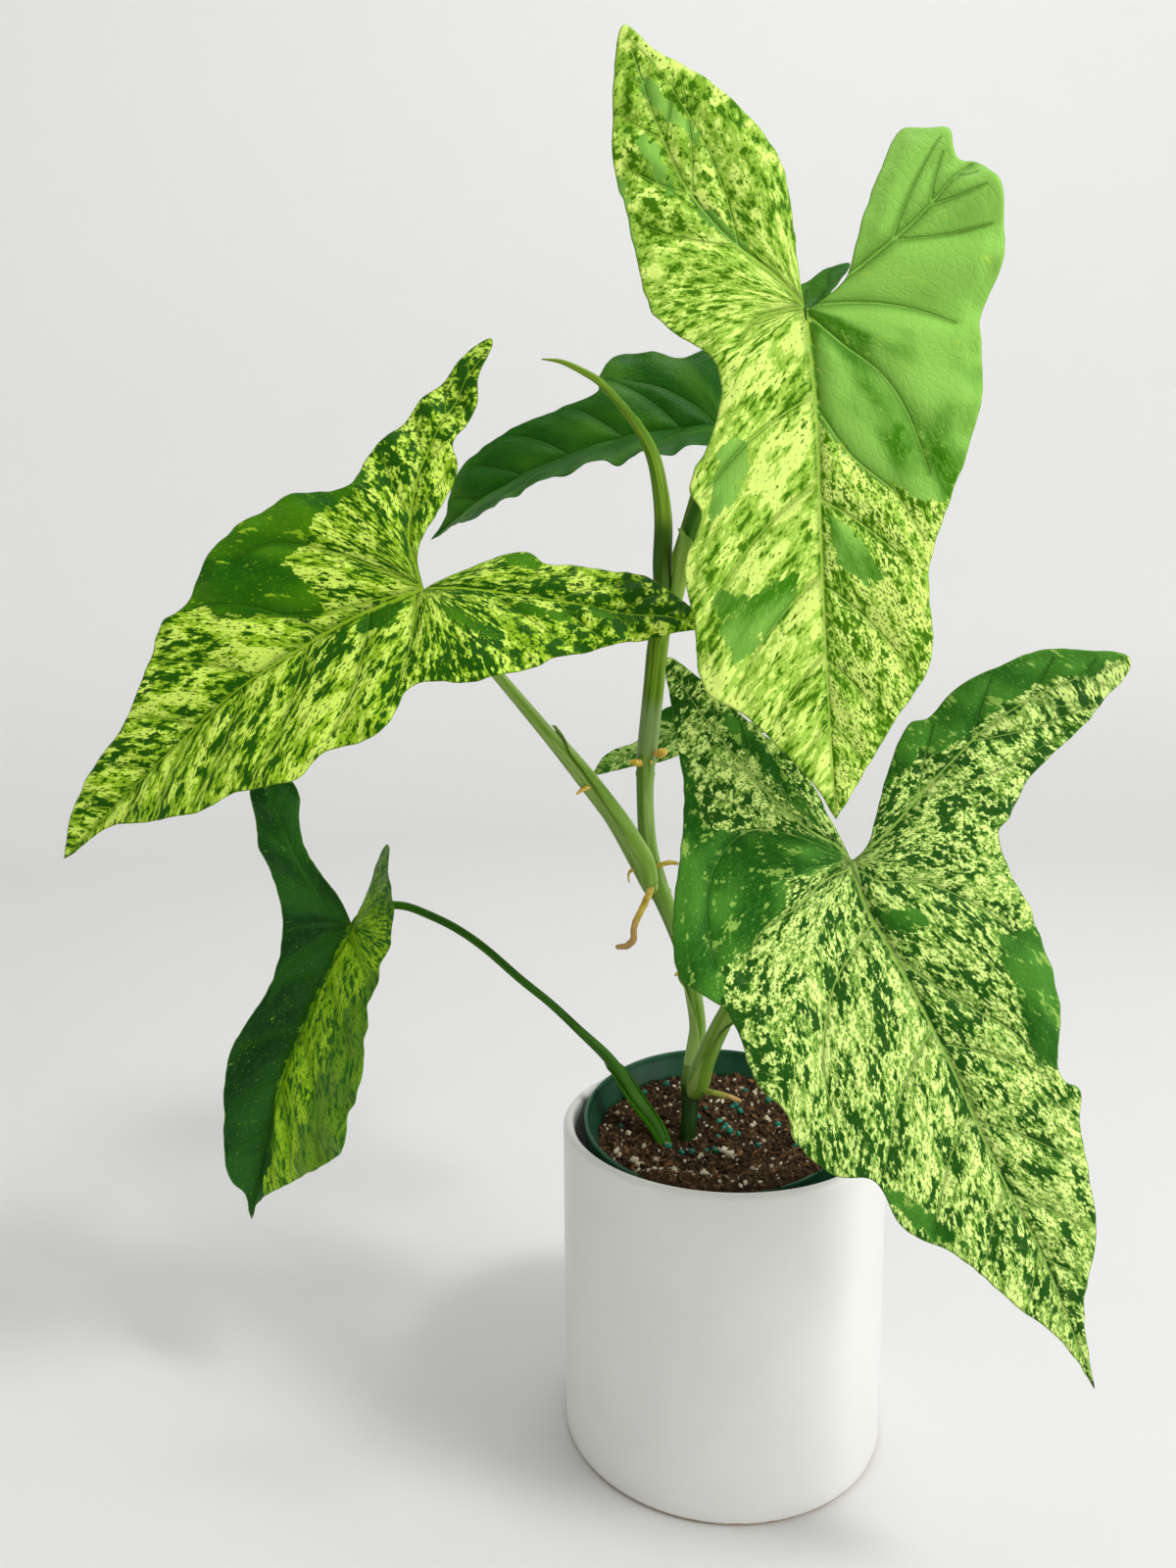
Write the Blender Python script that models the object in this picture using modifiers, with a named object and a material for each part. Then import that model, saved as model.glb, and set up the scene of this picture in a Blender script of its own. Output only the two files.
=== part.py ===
"""Arrowhead plant in a green nursery pot that stands inside a white cover pot.

Lengths below are in millimetres and become metres through MM.
+Z is up, the origin is the centre of the cover pot's underside, and -Y is the
side that the plant is seen from.
"""
import math

import bpy
from mathutils import Matrix, Vector
from mathutils.geometry import delaunay_2d_cdt

MM = 0.001
GAP = 0.4

# Cover pot
POT_RADIUS = 60.0
POT_HEIGHT = 120.4
POT_WALL = 4.0
POT_FLOOR = 8.0
POT_FOOT_CHAMFER = 1.6

# Nursery pot, leaning forward inside the cover pot
NURSERY_RIM_CENTRE = Vector((-3.0, 0.0, 122.5))
NURSERY_LEAN = math.radians(8.0)
NURSERY_HEIGHT = 110.5
NURSERY_RIM_RADIUS = 49.0
NURSERY_BASE_RADIUS = 34.0
NURSERY_WALL = 1.4
NURSERY_LIP_DROP = 9.0
SOIL_BELOW_RIM = 10.0

# Leaf blades
BLADE_THICKNESS = 0.7
BLADE_GRID = 11.0
MARGIN_STEP = 6.0
RIPPLE_LENGTH = 21.0

POT_SEGMENTS = 56
TUBE_SIDES_RESOLUTION = 2

# Each leaf is drawn flat in its own frame: +Y runs from the petiole joint to the
# tip, +X is the side named right, and +Z is the upper face. A margin runs from
# the tip round the basal lobe to the joint. Angles are radians, bends are
# radians per millimetre: fold lifts a half blade, lobe_fold lifts its basal
# lobe, curl rolls it across, droop bends the midrib and lobe_bend the lobes.
LEAVES = {
    "leaf_top": {
        "joint": (20.6, -68.0, 394.6),
        "tip_direction": (0.07, -0.24, -0.968),
        "face": (0.0, -0.97, 0.24),
        "droop": 0.0012,
        "right": {
            "fold": 0.08, "lobe_fold": 0.0, "curl": -0.002, "lobe_bend": -0.003,
            "margin": [(0, 146), (7, 134), (22, 117), (33, 109), (36, 102), (38, 72), (35, 49), (30, 41),
                       (25, 23), (28, 12), (43, -2), (49, -33), (52, -49), (51, -69), (47, -86),
                       (38, -78), (30, -73), (19, -64), (8, -50), (3, -38), (1, -12), (0, 0)],
        },
        "left": {
            "fold": 0.10, "lobe_fold": 0.35, "curl": -0.002, "lobe_bend": 0.008,
            "margin": [(0, 146), (-17, 120), (-28, 103), (-29, 78), (-36, 59), (-43, 42), (-47, 26),
                       (-47, 11), (-54, -5), (-55, -18), (-51, -28), (-45, -32), (-44, -41), (-39, -43),
                       (-32, -47), (-27, -40), (-19, -24), (-12, -7), (-3, 0), (0, 0)],
        },
    },
    "leaf_left": {
        "joint": (-95.0, -58.0, 317.0),
        "tip_direction": (-0.831, -0.259, -0.491),
        "face": (-0.09, -0.81, 0.58),
        "droop": 0.0025,
        "right": {
            "fold": 0.34, "lobe_fold": 0.3, "curl": -0.003, "lobe_bend": -0.0025,
            "margin": [(0, 147), (9, 136), (16, 122), (22, 102), (33, 86), (41, 76), (42, 66), (52, 51),
                       (54, 42), (54, 28), (51, 16), (44, 3), (51, -7), (54, -19), (59, -34), (65, -58),
                       (63, -65), (54, -54), (46, -48), (38, -34), (29, -30), (21, -19), (12, -5), (0, 0)],
        },
        "left": {
            "fold": 0.16, "lobe_fold": 0.05, "curl": -0.003, "lobe_bend": 0.002,
            "margin": [(0, 147), (-4, 126), (-14, 112), (-26, 92), (-29, 80), (-38, 63), (-37, 50),
                       (-42, 33), (-34, 19), (-43, 4), (-47, -8), (-51, -30), (-60, -57), (-62, -67),
                       (-53, -65), (-38, -60), (-30, -52), (-21, -43), (-15, -36), (-7, -32), (-3, -20),
                       (-1, -6), (0, 0)],
        },
    },
    "leaf_right": {
        "joint": (37.1, -75.0, 235.9),
        "tip_direction": (0.441, -0.299, -0.846),
        "face": (0.06, -0.93, 0.36),
        "droop": 0.0022,
        "right": {
            "fold": 0.15, "lobe_fold": 0.15, "curl": -0.002, "lobe_bend": 0.001,
            "margin": [(0, 169), (4, 150), (13, 132), (22, 113), (33, 99), (35, 84), (45, 77), (51, 64),
                       (50, 56), (54, 45), (53, 25), (61, 11), (57, -4), (39, -34), (32, -54), (26, -74),
                       (22, -80), (14, -64), (6, -44), (1, -32), (0, -12), (0, 0)],
        },
        "left": {
            "fold": 0.10, "lobe_fold": 0.45, "curl": -0.003, "lobe_bend": -0.004,
            "margin": [(0, 169), (-6, 144), (-18, 124), (-26, 95), (-30, 86), (-27, 79), (-35, 63),
                       (-38, 51), (-40, 35), (-41, 13), (-48, 7), (-59, -1), (-82, -9), (-96, -18),
                       (-86, -27), (-74, -33), (-51, -34), (-39, -29), (-31, -29), (-18, -16), (-7, -3),
                       (0, 0)],
        },
    },
    "leaf_low": {
        "joint": (-142.0, 2.0, 191.0),
        "tip_direction": (-0.318, -0.28, -0.906),
        "face": (-0.12, -0.94, 0.33),
        "droop": 0.0015,
        "right": {
            "fold": 0.40, "lobe_fold": 0.5, "curl": -0.004, "lobe_bend": -0.001,
            "margin": [(0, 119), (5, 110), (14, 104), (20, 89), (27, 66), (26, 51), (22, 35), (22, 19),
                       (28, 2), (38, -10), (48, -24), (57, -44), (58, -53), (50, -49), (37, -41),
                       (29, -24), (17, -14), (8, -8), (0, 0)],
        },
        "left": {
            "fold": 0.50, "lobe_fold": 1.9, "curl": -0.004, "lobe_bend": -0.006,
            "margin": [(0, 119), (-3, 109), (-20, 92), (-34, 78), (-39, 69), (-34, 61), (-37, 52),
                       (-31, 38), (-30, 30), (-24, 24), (-25, 15), (-22, 9), (-27, 0), (-28, -14),
                       (-26, -22), (-18, -26), (-9, -33), (-5, -30), (-3, -19), (-1, -8), (0, 0)],
        },
    },
    "leaf_back": {
        "joint": (-3.0, 45.0, 379.0),
        "tip_direction": (-0.98, -0.182, -0.076),
        "face": (0.05, -0.60, 0.79),
        "droop": 0.0053,
        "right": {
            "fold": 0.40, "lobe_fold": 0.6, "curl": -0.002, "lobe_bend": 0.0,
            "margin": [(0, 126), (5, 116), (21, 104), (27, 82), (28, 46), (36, 42), (45, 33), (42, 21),
                       (36, 9), (40, -4), (53, -27), (64, -46), (68, -60), (55, -51), (35, -33),
                       (15, -15), (4, -3), (0, 0)],
        },
        "left": {
            "fold": 0.46, "lobe_fold": 0.46, "curl": -0.002, "lobe_bend": 0.002,
            "margin": [(0, 126), (-7, 113), (-20, 101), (-26, 83), (-24, 72), (-30, 58), (-28, 48),
                       (-35, 38), (-37, 24), (-33, 10), (-40, -6), (-51, -27), (-59, -51), (-46, -46),
                       (-28, -29), (-12, -12), (-3, -2), (0, 0)],
        },
    },
    "leaf_small": {
        "joint": (-8.6, 52.0, 266.0),
        "tip_direction": (-0.92, -0.10, -0.38),
        "face": (-0.15, -0.75, 0.62),
        "droop": 0.004,
        "right": {
            "fold": 0.2, "lobe_fold": 0.2, "curl": -0.002, "lobe_bend": 0.001,
            "margin": [(0, 52), (2, 46), (5, 38), (8, 30), (14, 20), (16, 11), (14, 3), (17, -8), (19, -20),
                       (18, -26), (13, -21), (7, -11), (2, -3), (0, 0)],
        },
        "left": {
            "fold": 0.2, "lobe_fold": 0.2, "curl": -0.002, "lobe_bend": 0.001,
            "margin": [(0, 52), (-3, 46), (-6, 38), (-9, 30), (-14, 19), (-15, 10), (-13, 2), (-17, -9),
                       (-20, -20), (-17, -25), (-13, -19), (-6, -9), (-2, -3), (0, 0)],
        },
    },
}

# Round stems: (x, y, z, radius) from the root end to the free end
TUBES = {
    "main_stem": [(-12.9, -0.6, 115.6, 3.6), (-12.4, 3.0, 124.0, 3.5), (-12.2, 7.0, 132.0, 3.8),
                  (-10.2, 8.6, 146.0, 3.0), (-9.9, 9.0, 156.0, 2.9), (-13.7, 8.0, 177.0, 3.0),
                  (-19.6, 6.0, 194.5, 3.2), (-25.4, 4.2, 209.5, 3.9), (-27.2, 3.4, 217.0, 3.5),
                  (-29.0, 3.0, 228.5, 3.3), (-29.6, 2.4, 243.0, 3.2), (-29.3, 2.0, 255.5, 3.5)],
    "petiole_top": [(-16.8, -6.6, 321.0, 1.9), (-14.6, -9.6, 331.0, 2.5), (-11.0, -14.0, 343.0, 2.6),
                    (-2.0, -28.0, 362.8, 2.4), (9.0, -44.0, 381.0, 2.2), (16.0, -56.0, 390.5, 2.0),
                    (20.0, -65.0, 393.6, 1.7)],
    "petiole_left": [(-30.6, -2.8, 219.0, 3.3), (-38.8, -8.0, 234.7, 3.3), (-49.3, -17.0, 251.2, 3.1),
                     (-60.5, -27.0, 267.7, 2.6), (-74.5, -39.0, 287.7, 2.0), (-85.7, -47.0, 303.0, 1.8),
                     (-92.6, -53.2, 313.0, 1.7)],
    "petiole_right": [(-8.4, 0.8, 136.0, 3.2), (-5.9, -4.0, 147.0, 3.3), (1.1, -14.0, 166.8, 3.1),
                      (13.4, -31.0, 193.8, 2.6), (26.2, -52.0, 218.5, 2.1), (33.0, -64.0, 229.6, 1.8),
                      (36.6, -71.6, 234.6, 1.6)],
    "petiole_low": [(-24.2, -3.0, 115.8, 2.7), (-32.7, 3.0, 125.0, 2.9), (-42.9, 7.0, 138.4, 2.9),
                    (-55.8, 9.0, 150.0, 1.8), (-66.4, 9.0, 159.9, 1.6), (-78.3, 10.0, 169.0, 1.6),
                    (-92.0, 11.0, 180.4, 1.6), (-103.4, 12.0, 187.8, 1.6), (-114.2, 12.0, 193.0, 1.6),
                    (-124.2, 12.0, 196.4, 1.6), (-133.7, 10.4, 196.4, 1.6), (-139.6, 6.2, 193.4, 1.5)],
    "petiole_back": [(-29.2, 2.0, 257.0, 3.7), (-28.4, 2.0, 264.0, 3.9), (-26.5, 2.0, 282.7, 3.9),
                     (-24.8, 2.4, 299.5, 3.9), (-21.3, 3.2, 317.0, 3.3), (-17.0, 7.0, 333.0, 2.2),
                     (-11.5, 19.0, 354.0, 1.9), (-6.8, 35.0, 370.0, 1.8), (-4.6, 44.0, 375.4, 1.7)],
    "petiole_small": [(-13.4, 22.0, 118.2, 2.0), (-10.5, 24.0, 140.0, 1.7), (-9.6, 30.0, 175.0, 1.5),
                      (-8.0, 39.0, 220.0, 1.4), (-7.6, 47.0, 250.0, 1.3), (-8.4, 52.2, 262.8, 1.2)],
    "new_leaf": [(-23.0, -5.4, 319.0, 3.2), (-23.2, -5.6, 326.0, 3.5), (-22.8, -6.0, 338.9, 3.4),
                 (-23.7, -7.6, 349.7, 3.0), (-26.0, -9.0, 360.6, 2.5), (-30.2, -11.0, 369.5, 1.9),
                 (-35.8, -12.0, 377.2, 1.6), (-43.1, -12.0, 385.4, 1.4), (-50.5, -11.0, 390.3, 1.2),
                 (-57.6, -10.0, 393.6, 0.9), (-64.2, -9.0, 394.8, 0.4)],
    "aerial_root": [(-27.9, -3.2, 206.6, 1.4), (-30.6, -5.4, 201.0, 1.4), (-32.9, -7.0, 195.6, 1.3),
                    (-32.8, -7.4, 191.0, 1.3), (-35.4, -7.4, 188.4, 1.3), (-39.0, -7.4, 188.0, 0.8)],
    "surface_root": [(-9.8, 1.2, 130.8, 1.1), (-6.6, -0.6, 130.9, 1.2), (0.8, -3.0, 130.6, 1.2),
                     (6.2, -3.4, 129.0, 0.9)],
}

MATERIALS = {
    "cover_pot": ((0.86, 0.86, 0.85), 0.38),
    "nursery_pot": ((0.02, 0.13, 0.07), 0.45),
    "potting_soil": ((0.06, 0.032, 0.018), 0.95),
    "main_stem": ((0.09, 0.24, 0.04), 0.5),
    "petiole": ((0.13, 0.30, 0.05), 0.5),
    "new_leaf": ((0.28, 0.45, 0.08), 0.5),
    "root": ((0.62, 0.42, 0.10), 0.6),
    "leaf_light": ((0.40, 0.60, 0.13), 0.45),
    "leaf_dark": ((0.03, 0.16, 0.03), 0.42),
}


def clear_scene():
    for obj in list(bpy.data.objects):
        bpy.data.objects.remove(obj, do_unlink=True)


def make_collection(name):
    collection = bpy.data.collections.new(name)
    bpy.context.scene.collection.children.link(collection)
    return collection


def material(name):
    found = bpy.data.materials.get(name)
    if found:
        return found
    colour, roughness = MATERIALS[name]
    made = bpy.data.materials.new(name)
    made.use_nodes = True
    shader = made.node_tree.nodes["Principled BSDF"]
    shader.inputs["Base Color"].default_value = (*colour, 1.0)
    shader.inputs["Roughness"].default_value = roughness
    shader.inputs["Metallic"].default_value = 0.0
    made.diffuse_color = (*colour, 1.0)
    return made


def add_object(name, data, material_name, collection, parent=None):
    obj = bpy.data.objects.new(name, data)
    collection.objects.link(obj)
    obj.data.materials.append(material(material_name))
    obj.parent = parent
    return obj


def turned(name, profile, material_name, collection, parent=None):
    """A round piece from (radius, height) points that run down its outer side."""
    mesh = bpy.data.meshes.new(name)
    points = [(radius * MM, 0.0, height * MM) for radius, height in profile]
    edges = [(i, i + 1) for i in range(len(points) - 1)]
    mesh.from_pydata(points, edges, [])
    obj = add_object(name, mesh, material_name, collection, parent)
    screw = obj.modifiers.new("turn", "SCREW")
    screw.steps = POT_SEGMENTS
    screw.render_steps = POT_SEGMENTS
    screw.use_merge_vertices = True
    screw.merge_threshold = 0.00001
    screw.use_smooth_shade = True
    return obj


def quarter_round(centre_radius, centre_height, size, start, steps=4):
    """Points of a quarter circle that turns clockwise from the angle start."""
    points = []
    for i in range(steps + 1):
        angle = start - math.pi / 2 * i / steps
        points.append((centre_radius + size * math.cos(angle), centre_height + size * math.sin(angle)))
    return points


def cover_pot_profile():
    """From the middle of the inner floor over the rim and down to the underside."""
    inner = POT_RADIUS - POT_WALL
    lip = POT_WALL / 2
    rim = quarter_round(inner + lip, POT_HEIGHT - lip, lip, math.pi)
    rim += quarter_round(inner + lip, POT_HEIGHT - lip, lip, math.pi / 2)[1:]
    corner = 5.0
    floor_corner = [(inner - corner + corner * math.sin(a), POT_FLOOR + corner - corner * math.cos(a))
                    for a in (0.0, math.pi / 6, math.pi / 3, math.pi / 2)]
    foot = [(POT_RADIUS, POT_FOOT_CHAMFER), (POT_RADIUS - POT_FOOT_CHAMFER, 0.0), (0.0, 0.0)]
    return [(0.0, POT_FLOOR)] + floor_corner + rim + foot


def nursery_radius(height):
    """Outer wall radius of the nursery pot under its lip."""
    top = NURSERY_RIM_RADIUS - 2.2
    return NURSERY_BASE_RADIUS + (top - NURSERY_BASE_RADIUS) * height / NURSERY_HEIGHT


def nursery_pot_profile():
    top = NURSERY_HEIGHT
    lip_bottom = top - NURSERY_LIP_DROP
    inner_floor = NURSERY_WALL
    return [
        (0.0, inner_floor),
        (nursery_radius(inner_floor) - NURSERY_WALL, inner_floor),
        (nursery_radius(lip_bottom) - NURSERY_WALL, lip_bottom),
        (NURSERY_RIM_RADIUS - NURSERY_WALL, lip_bottom + 2.0),
        (NURSERY_RIM_RADIUS - NURSERY_WALL, top - 0.6),
        (NURSERY_RIM_RADIUS - 0.7, top),
        (NURSERY_RIM_RADIUS, top - 0.6),
        (NURSERY_RIM_RADIUS, lip_bottom),
        (nursery_radius(lip_bottom), lip_bottom),
        (nursery_radius(2.0), 2.0),
        (NURSERY_BASE_RADIUS - 1.5, 0.0),
        (0.0, 0.0),
    ]


def soil_profile():
    surface = NURSERY_HEIGHT - SOIL_BELOW_RIM
    floor = NURSERY_WALL + GAP
    inset = NURSERY_WALL + GAP
    return [
        (0.0, surface + 0.8),
        (20.0, surface + 0.5),
        (36.0, surface - 0.4),
        (nursery_radius(surface) - inset - 0.6, surface - 1.0),
        (nursery_radius(surface) - inset, surface - 2.0),
        (nursery_radius(floor) - inset, floor),
        (0.0, floor),
    ]


def stem_tube(name, points, material_name, collection):
    """A tapering round stem through points given as x, y, z and radius."""
    curve = bpy.data.curves.new(name, "CURVE")
    curve.dimensions = "3D"
    curve.bevel_depth = MM
    curve.bevel_resolution = TUBE_SIDES_RESOLUTION
    curve.resolution_u = 1
    curve.render_resolution_u = 0
    curve.use_fill_caps = True
    path = smooth_path(points, 6.0)
    spline = curve.splines.new("POLY")
    spline.points.add(len(path) - 1)
    for point, place in zip(spline.points, path):
        point.co = (place[0] * MM, place[1] * MM, place[2] * MM, 1.0)
        point.radius = place[3]
    return add_object(name, curve, material_name, collection)


def smooth_path(points, step):
    """Points about one step apart on a smooth curve through the given points."""
    places = [Vector(p) for p in points]
    path = []
    for i in range(len(places) - 1):
        before = places[max(i - 1, 0)]
        start = places[i]
        end = places[i + 1]
        after = places[min(i + 2, len(places) - 1)]
        count = max(1, round((end - start).length / step))
        for j in range(count):
            path.append(spline_point(before, start, end, after, j / count))
    path.append(places[-1])
    return path


def spline_point(before, start, end, after, u):
    """Catmull-Rom interpolation between start and end."""
    return 0.5 * ((2 * start) + (end - before) * u
                  + (2 * before - 5 * start + 4 * end - after) * u ** 2
                  + (3 * start - before - 3 * end + after) * u ** 3)


def arc(length, lift, curl):
    """Run and rise along an arc that starts at the angle lift and turns by curl."""
    if abs(curl) < 1e-6:
        return length * math.cos(lift), length * math.sin(lift)
    end = lift + curl * length
    return (math.sin(end) - math.sin(lift)) / curl, (math.cos(lift) - math.cos(end)) / curl


def smoothstep(start, end, value):
    u = min(max((value - start) / (end - start), 0.0), 1.0)
    return u * u * (3 - 2 * u)


def ripple(across, along, length):
    """Gentle wave that grows toward the margin and fades at the tip and joint."""
    reach = min(abs(across) / (0.3 * length), 1.2)
    fade = smoothstep(length, 0.8 * length, along)
    phase = 0.8 if across > 0 else 2.6
    return 1.3 * reach ** 3 * fade * math.sin(2 * math.pi * along / RIPPLE_LENGTH + phase)


def blade_point(leaf, across, along):
    """Place a point of the flat leaf on the bent and folded blade, in millimetres."""
    side = leaf["left"] if across < 0 else leaf["right"]
    length = leaf["right"]["margin"][0][1]
    bend = leaf["droop"] if along >= 0 else side["lobe_bend"]
    forward, rise = arc(along, 0.0, -bend)
    section_tilt = -bend * along
    lobe_share = smoothstep(0.10 * length, -0.25 * length, along)
    lift = side["fold"] + (side["lobe_fold"] - side["fold"]) * lobe_share
    sideways, height = arc(abs(across), lift, side["curl"])
    height += ripple(across, along, length)
    local = Vector((math.copysign(sideways, across),
                    forward - height * math.sin(section_tilt),
                    rise + height * math.cos(section_tilt)))
    return Vector(leaf["joint"]) + leaf_axes(leaf) @ local


def leaf_axes(leaf):
    """Columns are the leaf's right side, its tip direction and its upper face."""
    tip = Vector(leaf["tip_direction"]).normalized()
    face = Vector(leaf["face"])
    face = (face - face.dot(tip) * tip).normalized()
    return Matrix((tip.cross(face), tip, face)).transposed()


def leaf_outline(leaf):
    """Closed outline of the flat leaf: down the right margin, back up the left."""
    right = smooth_path(leaf["right"]["margin"], MARGIN_STEP)
    left = smooth_path(leaf["left"]["margin"], MARGIN_STEP)
    return right[:-1] + list(reversed(left))[:-1]


def inside(point, outline):
    hit = False
    for a, b in zip(outline, outline[1:] + outline[:1]):
        if (a.y > point.y) != (b.y > point.y):
            if point.x < a.x + (point.y - a.y) * (b.x - a.x) / (b.y - a.y):
                hit = not hit
    return hit


def margin_distance(point, outline):
    return min((point - corner).length for corner in outline)


def leaf_blade(name, leaf, material_name, collection):
    """A thin curved blade, triangulated flat and then bent into place."""
    outline = leaf_outline(leaf)
    length = leaf["right"]["margin"][0][1]
    points = list(outline)
    rows = range(-9, int(length / BLADE_GRID) + 1)
    for row in rows:
        for column in range(-9, 10):
            shift = 0.5 if row % 2 and column else 0.0
            spot = Vector((BLADE_GRID * (column - math.copysign(shift, column)), BLADE_GRID * row))
            if inside(spot, outline) and margin_distance(spot, outline) > 0.55 * MARGIN_STEP:
                points.append(spot)
    loop = list(range(len(outline)))
    result = delaunay_2d_cdt(points, [], [loop], 1, 1e-5)
    flat_points = result[0]
    triangles = result[2]
    mesh = bpy.data.meshes.new(name)
    mesh.from_pydata([blade_point(leaf, p.x, p.y) * MM for p in flat_points], [], triangles)
    mesh.shade_smooth()
    obj = add_object(name, mesh, material_name, collection)
    skin = obj.modifiers.new("thickness", "SOLIDIFY")
    skin.thickness = BLADE_THICKNESS * MM
    skin.offset = -1.0
    return obj


def build():
    clear_scene()
    plant = make_collection("arrowhead_plant")
    turned("cover_pot", cover_pot_profile(), "cover_pot", plant)
    lean = bpy.data.objects.new("nursery_lean", None)
    plant.objects.link(lean)
    axis = Vector((0.0, -math.sin(NURSERY_LEAN), math.cos(NURSERY_LEAN)))
    lean.location = (NURSERY_RIM_CENTRE - NURSERY_HEIGHT * axis) * MM
    lean.rotation_euler = (NURSERY_LEAN, 0.0, 0.0)
    turned("nursery_pot", nursery_pot_profile(), "nursery_pot", plant, lean)
    turned("potting_soil", soil_profile(), "potting_soil", plant, lean)
    for name, points in TUBES.items():
        if name.endswith("root"):
            tube_material = "root"
        elif name in ("main_stem", "new_leaf"):
            tube_material = name
        else:
            tube_material = "petiole"
        stem_tube(name, points, tube_material, plant)
    for name, leaf in LEAVES.items():
        blade_material = "leaf_dark" if name == "leaf_back" else "leaf_light"
        leaf_blade(name, leaf, blade_material, plant)


build()
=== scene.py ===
"""Arrowhead plant in a green nursery pot that stands inside a white cover pot.

Shapes are worked out in millimetres and become metres through MM. +Z is up,
the plant is seen from -Y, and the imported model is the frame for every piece.
"""

import math
import random

import bmesh
import bpy
import numpy as np
from mathutils import Matrix, Vector, noise
from mathutils.geometry import delaunay_2d_cdt


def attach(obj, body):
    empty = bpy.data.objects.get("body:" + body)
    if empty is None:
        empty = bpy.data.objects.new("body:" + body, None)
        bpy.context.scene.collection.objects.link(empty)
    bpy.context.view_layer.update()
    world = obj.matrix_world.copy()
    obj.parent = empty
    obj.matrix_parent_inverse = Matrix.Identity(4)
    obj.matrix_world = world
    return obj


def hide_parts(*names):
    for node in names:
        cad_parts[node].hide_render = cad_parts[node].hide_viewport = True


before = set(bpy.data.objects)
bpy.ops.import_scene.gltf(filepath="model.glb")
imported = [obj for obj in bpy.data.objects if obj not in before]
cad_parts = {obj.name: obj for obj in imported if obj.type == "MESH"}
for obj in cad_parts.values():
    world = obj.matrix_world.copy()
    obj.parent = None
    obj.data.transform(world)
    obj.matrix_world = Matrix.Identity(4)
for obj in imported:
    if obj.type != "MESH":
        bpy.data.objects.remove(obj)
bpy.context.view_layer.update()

MM = 0.001

# Cover pot and the nursery pot that leans in it
POT_RADIUS = 60.0
POT_HEIGHT = 120.4
POT_WALL = 4.0
POT_FLOOR = 8.0

# Foot ring of the cover pot, as steps in from its wall and heights
FOOT_STEPS = [(0.0, 2.4), (0.3, 1.5), (0.9, 0.7), (1.8, 0.15), (2.6, 0.0), (6.4, 0.0), (7.2, 0.25),
              (7.9, 0.9), (8.8, 1.4)]
FOOT_HOLLOW = 1.5

NURSERY_RIM_CENTRE = Vector((-3.0, 0.0, 122.5))
NURSERY_LEAN = math.radians(8.0)
NURSERY_HEIGHT = 110.5
NURSERY_RIM_RADIUS = 49.0
NURSERY_BASE_RADIUS = 34.0
NURSERY_WALL = 1.4
NURSERY_LIP_DROP = 9.0
SOIL_BELOW_RIM = 10.0

# Leaf blades: their thickness, the length of the waves on their margins, the
# depth of the small wobble in their outline, and the length from which relief
# and veins have their full size
BLADE_THICKNESS = 0.45
RIPPLE_LENGTH = 18.0
WOBBLE = 0.45
FULL_LENGTH = 110.0

# Spacing of a blade's points: along its margin and veins, between the even rows
# of its field, beside each vein and inside its rim
MARGIN_STEP = 1.0
VEIN_STEP = 1.0
FIELD_STEP = 1.3
ROW_SHARE = 0.866
VEIN_ROW = 0.8
RIM_ROW = 0.7
FIELD_COLUMNS = range(-130, 130)
FIELD_ROWS = range(-130, 200)
CELL = 1.2

# How the pattern of a blade fans out round its joint, and the seed between leaves
FAN_SCALE = 44.0
SIDE_SEED = 40.0

POT_SEGMENTS = 192
SOIL_SEGMENTS = 220
FULL_TURN = 6.28
PER_SQUARE_METRE = 1e6

# Points that are measured at a time, to spare memory
BATCH = 1500


# Finishes
def srgb(red, green, blue):
    """Linear colour of an 8-bit display colour."""
    linear = []
    for value in (red, green, blue):
        value = value / 255
        linear.append(value / 12.92 if value <= 0.04045 else ((value + 0.055) / 1.055) ** 2.4)
    return (*linear, 1.0)


class Value:
    """A number or vector inside a finish; arithmetic on it adds Math nodes."""

    def __init__(self, finish, socket):
        self.finish = finish
        self.socket = socket

    def math(self, operation, first, second):
        return self.finish.node("ShaderNodeMath", {"operation": operation}, {0: first, 1: second})

    def __add__(self, other):
        return self.math("ADD", self, other)

    def __radd__(self, other):
        return self.math("ADD", other, self)

    def __sub__(self, other):
        return self.math("SUBTRACT", self, other)

    def __rsub__(self, other):
        return self.math("SUBTRACT", other, self)

    def __mul__(self, other):
        return self.math("MULTIPLY", self, other)

    def __rmul__(self, other):
        return self.math("MULTIPLY", other, self)

    def __truediv__(self, other):
        return self.math("DIVIDE", self, other)

    def above(self, edge, softness=0.02):
        """1 where the value is over the edge and 0 under it, with a soft step."""
        inputs = {0: self, 1: edge - softness, 2: edge + softness}
        settings = {"interpolation_type": "SMOOTHSTEP"}
        return self.finish.node("ShaderNodeMapRange", settings, inputs)

    def below(self, edge, softness=0.02):
        """1 where the value is under the edge and 0 over it, with a soft step."""
        return 1 - self.above(edge, softness)


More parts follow.
